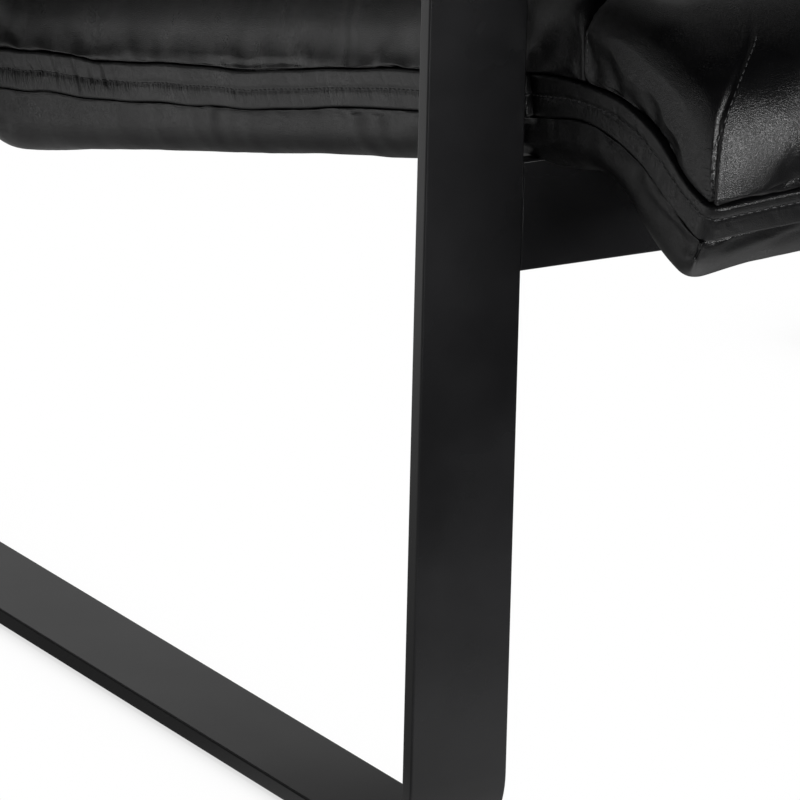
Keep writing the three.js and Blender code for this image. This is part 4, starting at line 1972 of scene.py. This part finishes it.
@dataclass
class SeamBand:
    """The gathered leather band round the sling's edge, sewn along its middle."""

    line: SlingLine
    drape: Drape
    leather: Material
    height: float = 0.019
    thickness: float = 0.005
    corner: float = 0.0065
    top_roll: float = 0.0012
    bottom_roll: float = 0.0006
    ledge: float = 0.0010
    swell: float = 0.0002
    valley: float = 0.0005
    valley_reach: float = 0.0013
    seam_lift: float = 0.0030
    post_place: float = 0.1513
    post_bulge: float = 0.0016
    step: float = 0.0010
    corner_steps: int = 14
    face_steps: int = 22
    face_power: float = 0.9
    crease_spacing: float = 0.013
    crease_depth: float = 0.0024
    crease_width: float = 0.0014
    crease_lean: float = 0.45
    crease_seed: float = 83.0
    crease_share: float = 0.10
    crease_edge: float = 1.15
    crease_bends: tuple[Dip, ...] = (Dip(0.556, 1.0, 0.020), Dip(0.607, 0.7, 0.014), Dip(0.70, 0.5, 0.05))
    puff: float = 0.0005
    puff_offset: float = 0.004
    puff_width: float = 0.0030
    stray: Fold = Fold(0.002, 0.006, 0.05, 79.0)
    unevenness: Fold = Fold(0.00022, 0.016, 0.007, 89.0)
    ledge_reach: float = 0.07
    lift_reach: float = 0.06
    lip_reach: float = 0.012
    hollow_reach: float = 0.006
    post_edge: float = 0.0002
    gather_share: float = 0.20
    gather_start: float = 0.44
    gather_run: float = 0.10
    fill: float = 0.4

    def outline(self) -> tuple[Array, Array, Array, Array]:
        """Walk round the sling's edge, from its top right corner.

        Returns:
            Places along the sling and across it, and the outward direction along and across at each.
        """
        radius, length, half = self.corner, self.line.length, self.drape.half_width
        reach = [length - 2 * radius, 2 * (half - radius)]
        sweep = np.linspace(0, math.pi / 2, self.corner_steps, endpoint=False)
        ahead = [(-1, 0), (0, -1), (1, 0), (0, 1)]
        outward = [(0.0, 1.0), (-1.0, 0.0), (0.0, -1.0), (1.0, 0.0)]
        middles = [
            (radius, half - radius),
            (radius, radius - half),
            (length - radius, radius - half),
            (length - radius, half - radius),
        ]
        start = np.array([length - radius, half])
        parts = []
        for side in range(4):
            run = np.arange(0, reach[side % 2], self.step)[:, None]
            out, turned = np.array(outward[side]), np.array(outward[(side + 1) % 4])
            parts.append(np.hstack([start + run * np.array(ahead[side]), np.tile(out, (len(run), 1))]))
            bend = np.outer(np.cos(sweep), out) + np.outer(np.sin(sweep), turned)
            middle = np.array(middles[side])
            parts.append(np.hstack([middle + radius * bend, bend]))
            start = middle + radius * turned
        return tuple(np.concatenate(parts).T)

    def face(self, level: float | Array) -> tuple[Array, Array, Array]:
        """The band's face at a height from its middle.

        Args:
            level: one height, or one for each place of the outline.

        Returns:
            Points of the face, distances round the outline, and the height at each.
        """
        s, x, out_s, out_x = self.outline()
        run = np.concatenate([[0], np.cumsum(np.hypot(np.diff(s), np.diff(x)))])
        level = np.broadcast_to(level, s.shape)
        inset = self._inset(run, s, level)
        return self._points(s - out_s * inset, x - out_x * inset, level), run, level

    def _points(self, s: Array, x: Array, level: Array) -> Array:
        """Points of the band on the draped sling."""
        rise = self.drape.seam(s, x, 2 * level / self.height) + self.drape.crown(s, x)
        return self.line.points(s, x, level + rise)

    def _inset(self, run: Array, s: Array, level: Array) -> Array:
        """How far the face lies inside the outline, with its creases.

        Args:
            run: distances round the outline.
            s: places along the sling.
            level: heights from the band's middle.

        Returns:
            The inset at each place.
        """
        half = self.height / 2
        roll = np.where(level > 0, self.top_roll, self.bottom_roll)
        over = np.clip((np.abs(level) - (half - roll)) / roll, 0, 1)
        inset = roll * (1 - np.sqrt(1 - over**2))
        inset = inset + self.swell * (2 * np.abs(level) / half - 1) ** 2
        ends = np.minimum(s, self.line.length - s)
        inset = inset + self.valley * bell(level - self._seam_level(s), self.valley_reach)
        inset = inset - self.ledge * bell(ends, self.ledge_reach)
        bends = sum(bend.rise * bell(s - bend.place, bend.reach) for bend in self.crease_bends)
        strength = self.crease_share + (1 - self.crease_share) * np.clip(bends, 0, 1)
        leaning = run - self.crease_lean * level + self.stray.at(level, run)
        crease = scattered(leaning, self.crease_spacing, self.crease_width, self.crease_seed)
        puff = scattered(leaning + self.puff_offset, self.crease_spacing, self.puff_width, self.crease_seed)
        window = np.clip(self.crease_edge - np.abs(level) / half, 0, 1)
        inset = inset + strength * window * (self.crease_depth * crease - self.puff * puff)
        behind = s - self.post_place
        lip = bell(np.maximum(0, behind), self.lip_reach) / (1 + np.exp(-behind / self.post_edge))
        hollow = bell(np.minimum(0, behind), self.hollow_reach) / (1 + np.exp(behind / self.post_edge))
        inset = inset - self.post_bulge * (lip - hollow)
        return inset + self.unevenness.at(run, level)

    def _seam_level(self, s: Array) -> Array:
        """Height of the seam along the band, which lies higher at the front and the top."""
        return self.seam_lift * bell(np.minimum(s, self.line.length - s), self.lift_reach)

    def build(self) -> None:
        """Sew the band all round the sling."""
        half = self.height / 2
        s, x, out_s, out_x = self.outline()
        along = np.clip((s - self.gather_start) / self.gather_run, 0, 1)
        strength = self.gather_share + (1 - self.gather_share) * along
        share = np.linspace(-1, 1, self.face_steps + 1)
        rings, marks = [], []
        for level in np.sign(share) * np.abs(share) ** self.face_power * half:
            points, run, levels = self.face(level)
            rings.append(points)
            marks.append(np.stack([run, levels - self._seam_level(s), strength], axis=1))
        for level in (half, -half):
            levels = np.full_like(s, level)
            rings.append(self._points(s - out_s * self.thickness, x - out_x * self.thickness, levels))
            marks.append(np.stack([run, levels, 0 * run], axis=1))
        count, turns = len(s), len(rings)
        number = np.arange(count * turns).reshape(turns, count)
        faces: Faces = []
        for index in range(turns):
            faces += strip_faces(number[index], number[(index + 1) % turns])
        band = add_mesh("gathered_band", np.concatenate(rings), faces)
        turn_outwards(band)
        mark_vertices(band.data, SEAM_MARK, np.concatenate(marks))
        hand_over(band, self.leather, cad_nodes("_band"))

    def middle_seam(self) -> Array:
        """Points of the seam along the band's middle."""
        seam = self.face(self._seam_level(self.outline()[0]))[0]
        return np.vstack([seam, seam[:1]])


# Stitches


@dataclass
class Stitching:
    """Black thread along the cross seams, the corner seams and the band's middle."""

    pads: Pads
    band: SeamBand
    thread: Material
    pitch: float = 0.0040
    stitch_length: float = 0.0032
    thread_radius: float = 0.00042
    seam_offset: float = 0.0022
    sink: float = 0.00004
    reach: float = 0.12
    above: float = 0.11
    beside: float = 0.03
    wall_foot: float = 0.004
    wall_top: float = 0.022
    wall_step: float = 0.002
    edge_gap: float = 0.004
    cross_step: float = 0.003
    dart_start: float = 0.006
    dart_end: float = 0.034
    dart_step: float = 0.002
    dart_aim: float = 0.02
    dart_outside: float = 0.02
    dart_inside: float = 0.05

    @property
    def walls(self) -> Array:
        """Heights of the needles up a pad's wall."""
        base = self.pads.base
        return np.arange(base + self.wall_foot, base + self.wall_top, self.wall_step)

    def build(self) -> None:
        """Sew every row of stitches."""
        rows = [
            self._cross_row("front_roll", self.pads.roll_seam - self.seam_offset),
            self._cross_row("back_cushion", self.pads.line.crease_seam + self.seam_offset),
            self.band.middle_seam(),
        ]
        for sign in (-1, 1):
            rows.append(self._dart_row("front_roll", sign, False))
            rows.append(self._dart_row("back_cushion", sign, True))
        points = np.concatenate(rows)
        joins, first = [], 0
        for row in rows:
            numbers = np.arange(first, first + len(row))
            joins += list(zip(numbers[:-1].tolist(), numbers[1:].tolist()))
            first += len(row)
        piece = add_mesh("stitches", np.empty((0, 3)), [])
        piece.data.from_pydata(points.tolist(), joins, [])
        stitch_tree().run(
            piece,
            Pitch=self.pitch,
            Stitch_length=self.stitch_length,
            Thread_radius=self.thread_radius,
            Material=self.thread,
        )
        settle(piece)
        hand_over(piece, None)

    def _drop(self, tree: BVHTree, origin: Array, target: Array) -> Array | None:
        """Put one needle into a pad.

        Args:
            tree: the pad's cover.
            origin: where the needle starts.
            target: where it points.

        Returns:
            The point where it meets the cover, or None if it misses.
        """
        heading = Vector(target - origin).normalized()
        spot, normal, _, _ = tree.ray_cast(Vector(origin), heading, self.reach)
        return None if spot is None else np.array(spot - normal * self.sink)

    def _row(self, pad: str, needles: Sequence[tuple[Triple, Triple]]) -> Array:
        """Put a row of needles into a pad.

        Args:
            pad: the pad's name.
            needles: the two places on the sling that each needle runs between.

        Returns:
            The points where they meet the cover, one row each.
        """
        mesh = self.pads.made[pad].data
        tree = BVHTree.FromPolygons(vertices_of(mesh).tolist(), [face.vertices[:] for face in mesh.polygons])
        ends = [[self.pads.line.points(*place) for place in needle] for needle in needles]
        found = [self._drop(tree, origin, target) for origin, target in ends]
        return np.array([spot for spot in found if spot is not None])

    def _cross_row(self, pad: str, s: float) -> Array:
        """Sew a row across the sling, from the band on one side to the band on the other.

        Args:
            pad: the pad's name.
            s: the row's place along the sling.

        Returns:
            Points of the row.
        """
        half = self.pads.half_width
        inner, outer = half - self.edge_gap, half + self.beside
        needles = [((s, -outer, n), (s, 0, n)) for n in self.walls]
        needles += [((s, x, self.above), (s, x, 0)) for x in np.arange(-inner, inner, self.cross_step)]
        needles += [((s, outer, n), (s, 0, n)) for n in self.walls[::-1]]
        return self._row(pad, needles)

    def _dart_row(self, pad: str, sign: int, at_top: bool) -> Array:
        """Sew a row beside a corner seam.

        Args:
            pad: the pad's name.
            sign: -1 on the left, 1 on the right.
            at_top: whether the corner is at the top of the back.

        Returns:
            Points of the row.
        """
        half, base, darts = self.pads.half_width, self.pads.base, self.pads.darts

        def place(gap: float, n: float) -> Triple:
            """The row's place at a gap from the side and a height."""
            end = darts.set_in(n - base) + darts.upper_lean * gap + self.seam_offset
            return (darts.sling_length - end if at_top else end), sign * (half - gap), n

        gaps, aim = np.arange(self.dart_start, self.dart_end, self.dart_step), base + self.dart_aim
        needles = [(place(-self.dart_outside, n), place(self.dart_inside, n)) for n in self.walls]
        needles += [(place(gap, self.above), place(gap, aim)) for gap in gaps]
        return self._row(pad, needles)


# Inner pieces


@dataclass
class Webbing:
    """The straps across the inner rails."""

    line: SlingLine
    cloth: Material
    width: float = 0.050
    thickness: float = 0.001
    bottom: float = 0.00825
    edge_drop: float = 0.75
    edge_power: int = 6
    steps: int = 8
    across_steps: int = 60

    def build(self) -> None:
        """Weave a strap for each of the construction's."""
        seat, back = self.line.stretches[2], self.line.stretches[4]
        for kind, stretch in (("seat", seat), ("back", back)):
            nodes = [name for name in sorted(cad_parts) if name.startswith(f"{kind}_strap_")]
            for index, node in enumerate(nodes):
                middle = stretch.start + stretch.length * (index + 0.5) / len(nodes)
                self._strap(f"{kind}_web_{index + 1}", node, middle)

    def _strap(self, name: str, node: str, middle: float) -> None:
        """Weave one strap, with rounded edges and slightly domed faces.

        Args:
            name: name of the piece.
            node: the construction node that it stands for.
            middle: place of its middle along the sling.
        """
        low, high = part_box(node)
        share = np.linspace(-1, 1, self.steps + 1)
        dome = np.sqrt(1 - self.edge_drop * share**self.edge_power)
        places = middle + share * self.width / 2
        heights = [self.bottom + self.thickness * (0.5 + way * dome) for way in (0.5, -0.5)]
        upper, lower = (np.stack([places, height], axis=1) for height in heights)
        outline = np.concatenate([upper, lower[::-1]])
        xs = np.linspace(low.x, high.x, self.across_steps + 1)
        points = np.concatenate([self.line.points(outline[:, 0], x, outline[:, 1]) for x in xs])
        strap = add_mesh(name, points, loft_faces(len(outline), len(xs)))
        turn_outwards(strap)
        hand_over(strap, self.cloth, [node])


@dataclass
class Fixings:
    """Tabs, bolts, washers and the inner frame, which keep their construction meshes."""

    coat: Material
    steel: Material
    zinc: Material

    def dress(self) -> None:
        """Give each kept node its finish."""
        finishes = [
            (self.coat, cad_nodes("_tab")),
            (self.steel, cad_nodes("_inner_rail", "_tube", "_sleeve")),
            (self.zinc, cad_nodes("_bolt", "_washer")),
        ]
        for material, nodes in finishes:
            for node in nodes:
                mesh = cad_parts[node].data
                mesh.materials.clear()
                mesh.materials.append(material)
                LOG.info("%s: %s", node, material.name)


# Studio


@dataclass(frozen=True)
class SoftBox:
    """A soft light, aimed at a point."""

    name: str
    place: Triple
    aim: Triple
    size: tuple[float, float]
    watts: float


@dataclass(frozen=True)
class Pool:
    """A pool of light on the floor, as glossy surfaces mirror it."""

    middle: Triple
    near: float
    far: float
    strength: float


@dataclass
class Studio:
    """White floor, soft light and the photograph's camera."""

    lens: float = 315.0
    sensor: float = 36.0
    camera_place: Triple = (-1.858, -2.4940, 1.119)
    heading: float = math.radians(31.12)
    dip: float = math.radians(17.03)
    roll: float = math.radians(1.35)
    view_depth: float = 100.0
    floor_size: float = 16.0
    floor_colour: Colour = (0.8, 0.8, 0.8, 1)
    shadow_reach: float = 0.10
    shadow_samples: int = 8
    shadow_tone: float = 0.72
    shadow_span: tuple[float, float] = (0.25, 0.9)
    boxes: tuple[SoftBox, ...] = (
        SoftBox("key_box", (0.06, -3.07, 0.80), (-0.27, -0.45, 0.37), (1.4, 0.65), 54.0),
        SoftBox("low_card", (-1.02, -2.93, 0.26), (-0.27, -0.45, 0.36), (0.45, 0.50), 16.0),
        SoftBox("left_card", (-3.2, 0.1, 1.0), (-0.3, 0.1, 0.35), (1.8, 0.8), 7.0),
        SoftBox("right_card", (3.2, 0.1, 1.0), (0.3, 0.1, 0.35), (1.8, 0.8), 14.0),
    )
    pools: tuple[Pool, ...] = (
        Pool((-1.3, 1.7, 0.0), 1.6, 2.9, 0.80),
        Pool((-0.20, -0.30, 0.0), 0.10, 0.36, 1.40),
    )
    # Painted glow of the floor as reflections see it, with painted shade under the chair.
    dim_floor: float = 0.03
    under_chair: Triple = (0.0, 0.15, 0.0)
    under_stretch: Triple = (0.55, 0.40, 1.0)
    under_shade: float = 0.25
    under_reach: tuple[float, float] = (0.7, 2.0)
    air_light: tuple[float, float] = (0.006, 0.48)
    air_heading: Triple = (0.24, 0.93, 0.26)
    air_reach: tuple[float, float] = (0.68, 1.0)

    def build(self, post_front: float) -> None:
        """Set up the floor, the light and the camera.

        Args:
            post_front: where the front posts' faces lie along Y.
        """
        self._camera(post_front)
        self._floor()
        self._world()
        for box in self.boxes:
            self._light(box)
        bpy.context.scene.view_settings.view_transform = "Standard"

    def _camera(self, post_front: float) -> None:
        """Place the camera.

        Args:
            post_front: where the front posts' faces lie, which its place is measured from.
        """
        x, y, z = self.camera_place
        turn, dip, roll = self.heading, self.dip, self.roll
        ahead = Vector((math.sin(turn) * math.cos(dip), math.cos(turn) * math.cos(dip), -math.sin(dip)))
        level = Vector((math.cos(turn), -math.sin(turn), 0))
        upright = level.cross(ahead)
        right = math.cos(roll) * level + math.sin(roll) * upright
        up = math.cos(roll) * upright - math.sin(roll) * level
        data = bpy.data.cameras.new("camera")
        data.lens, data.sensor_width, data.clip_end = self.lens, self.sensor, self.view_depth
        camera = bpy.data.objects.new("camera", data)
        axes = Matrix((right, up, -ahead)).transposed().to_4x4()
        camera.matrix_world = Matrix.Translation((x, y + post_front, z)) @ axes
        bpy.context.scene.collection.objects.link(camera)
        bpy.context.scene.camera = camera

    def _floor(self) -> None:
        """A white floor with a painted soft shadow, and, for reflections only, a painted glow with pools of
        light and painted shade under the chair.
        """
        half = self.floor_size / 2
        corners = np.array([(-half, -half, 0), (half, -half, 0), (half, half, 0), (-half, half, 0)], float)
        floor = add_mesh("floor", corners, [(0, 1, 2, 3)])
        material = bpy.data.materials.new("white_floor")
        material.use_nodes = True
        sketch = Sketch(material.node_tree)
        path = sketch.add("ShaderNodeLightPath").outputs
        place = sketch.add("ShaderNodeTexCoord").outputs["Object"]
        # Painted soft shadow: the white that the camera sees darkens where occlusion is found.
        values = {"Distance": self.shadow_reach}
        shade = sketch.add("ShaderNodeAmbientOcclusion", values, samples=self.shadow_samples).outputs["AO"]
        start, end = self.shadow_span
        white = sketch.between(shade, self.shadow_tone, 1.0, start=start, end=end)
        seen = sketch.add("ShaderNodeEmission", {"Strength": white})
        glow = self.dim_floor
        for pool in self.pools:
            ends = {0: place, 1: pool.middle}
            away = sketch.add("ShaderNodeVectorMath", ends, operation="DISTANCE").outputs["Value"]
            lit = sketch.between(away, pool.strength, 0.0, start=pool.near, end=pool.far)
            glow = sketch.math("MAXIMUM", glow, lit)
        # Painted shade under the chair, in the glow that only reflections see.
        under = {0: place, 1: self.under_chair}
        offset = sketch.add("ShaderNodeVectorMath", under, operation="SUBTRACT").outputs[0]
        parts = {0: offset, 1: self.under_stretch}
        share = sketch.add("ShaderNodeVectorMath", parts, operation="DIVIDE").outputs[0]
        beside = sketch.add("ShaderNodeVectorMath", {0: share}, operation="LENGTH").outputs["Value"]
        start, end = self.under_reach
        shaded = sketch.between(beside, self.under_shade, 1.0, start=start, end=end)
        mirrored = sketch.add("ShaderNodeEmission", {"Strength": sketch.math("MULTIPLY", glow, shaded)})
        plain = sketch.add("ShaderNodeBsdfDiffuse", {"Color": self.floor_colour})
        glossy = sketch.math("MAXIMUM", path["Is Glossy Ray"], path["Is Transmission Ray"])
        inner = sketch.add("ShaderNodeMixShader", {0: glossy, 1: plain.outputs[0], 2: mirrored.outputs[0]})
        above = sketch.add(
            "ShaderNodeMixShader", {0: path["Is Camera Ray"], 1: inner.outputs[0], 2: seen.outputs[0]}
        )
        clear = sketch.add("ShaderNodeBsdfTransparent")
        behind = sketch.add("ShaderNodeNewGeometry").outputs["Backfacing"]
        both = sketch.add("ShaderNodeMixShader", {0: behind, 1: above.outputs[0], 2: clear.outputs[0]})
        sketch.add("ShaderNodeOutputMaterial", {"Surface": both.outputs[0]})
        floor.data.materials.append(material)

    def _world(self) -> None:
        """Dim light that grows to one side, seen as white."""
        world = bpy.data.worlds.new("studio")
        bpy.context.scene.world = world
        world.use_nodes = True
        sketch = Sketch(world.node_tree)
        path = sketch.add("ShaderNodeLightPath").outputs
        heading = sketch.add("ShaderNodeTexCoord").outputs["Generated"]
        bright = tuple(Vector(self.air_heading).normalized())
        facing = sketch.add("ShaderNodeVectorMath", {0: heading, 1: bright}, operation="DOT_PRODUCT")
        edge, centre = self.air_reach
        light = sketch.between(facing.outputs["Value"], *self.air_light, start=edge, end=centre)
        strength = sketch.math("MAXIMUM", light, path["Is Camera Ray"])
        air = sketch.add("ShaderNodeBackground", {"Color": (1, 1, 1, 1), "Strength": strength})
        sketch.add("ShaderNodeOutputWorld", {"Surface": air.outputs[0]})

    def _light(self, box: SoftBox) -> None:
        """Hang one soft box.

        Args:
            box: its place, aim, size and power.
        """
        data = bpy.data.lights.new(box.name, "AREA")
        data.shape = "RECTANGLE"
        data.size, data.size_y = box.size
        data.energy = box.watts
        light = bpy.data.objects.new(box.name, data)
        heading = Vector(box.aim) - Vector(box.place)
        turn = heading.to_track_quat("-Z", "Y").to_matrix().to_4x4()
        light.matrix_world = Matrix.Translation(box.place) @ turn
        bpy.context.scene.collection.objects.link(light)


def main() -> None:
    """Build the chair's pieces in order, then the studio."""
    logging.basicConfig(level=logging.INFO, format="%(name)s %(message)s")
    coat = PowderCoat().material()
    leather = Leather().material()
    gathered = Leather("gathered_leather", gathered=True).material()
    nylon = MouldedNylon().material()
    steel_tones = ((0.25, 0.25, 0.26, 1), (0.16, 0.155, 0.15, 1))
    zinc_tones = ((0.52, 0.52, 0.54, 1), (0.40, 0.40, 0.42, 1))
    web_tones = ((0.09, 0.08, 0.07, 1), (0.03, 0.027, 0.024, 1))
    thread_tones = ((0.05, 0.05, 0.052, 1), (0.015, 0.015, 0.015, 1))
    steel = Metal("bare_steel", *steel_tones, low_roughness=0.38, high_roughness=0.55).material()
    zinc = Metal("zinc_plate", *zinc_tones, low_roughness=0.25, high_roughness=0.4).material()
    web = Woven("webbing", *web_tones, pitch=0.0016, depth=0.0003, roughness=0.85).material()
    thread = Woven("black_thread", *thread_tones, pitch=0.0005, depth=0.0001, roughness=0.45).material()

    post_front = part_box("left_side_frame")[0].y
    half_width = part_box("seat_pad")[1].x
    line = SlingLine(post_front)
    drape = Drape(half_width, line.length)
    SideLoops(coat).build()
    CrossRails(coat).build()
    FloorGlides(nylon).build()
    pads = Pads(line, drape, leather, gathered)
    pads.build()
    band = SeamBand(line, drape, gathered)
    band.build()
    Stitching(pads, band, thread).build()
    Webbing(line, web).build()
    Fixings(coat, steel, zinc).dress()
    Studio().build(post_front)


if __name__ == "__main__":
    main()
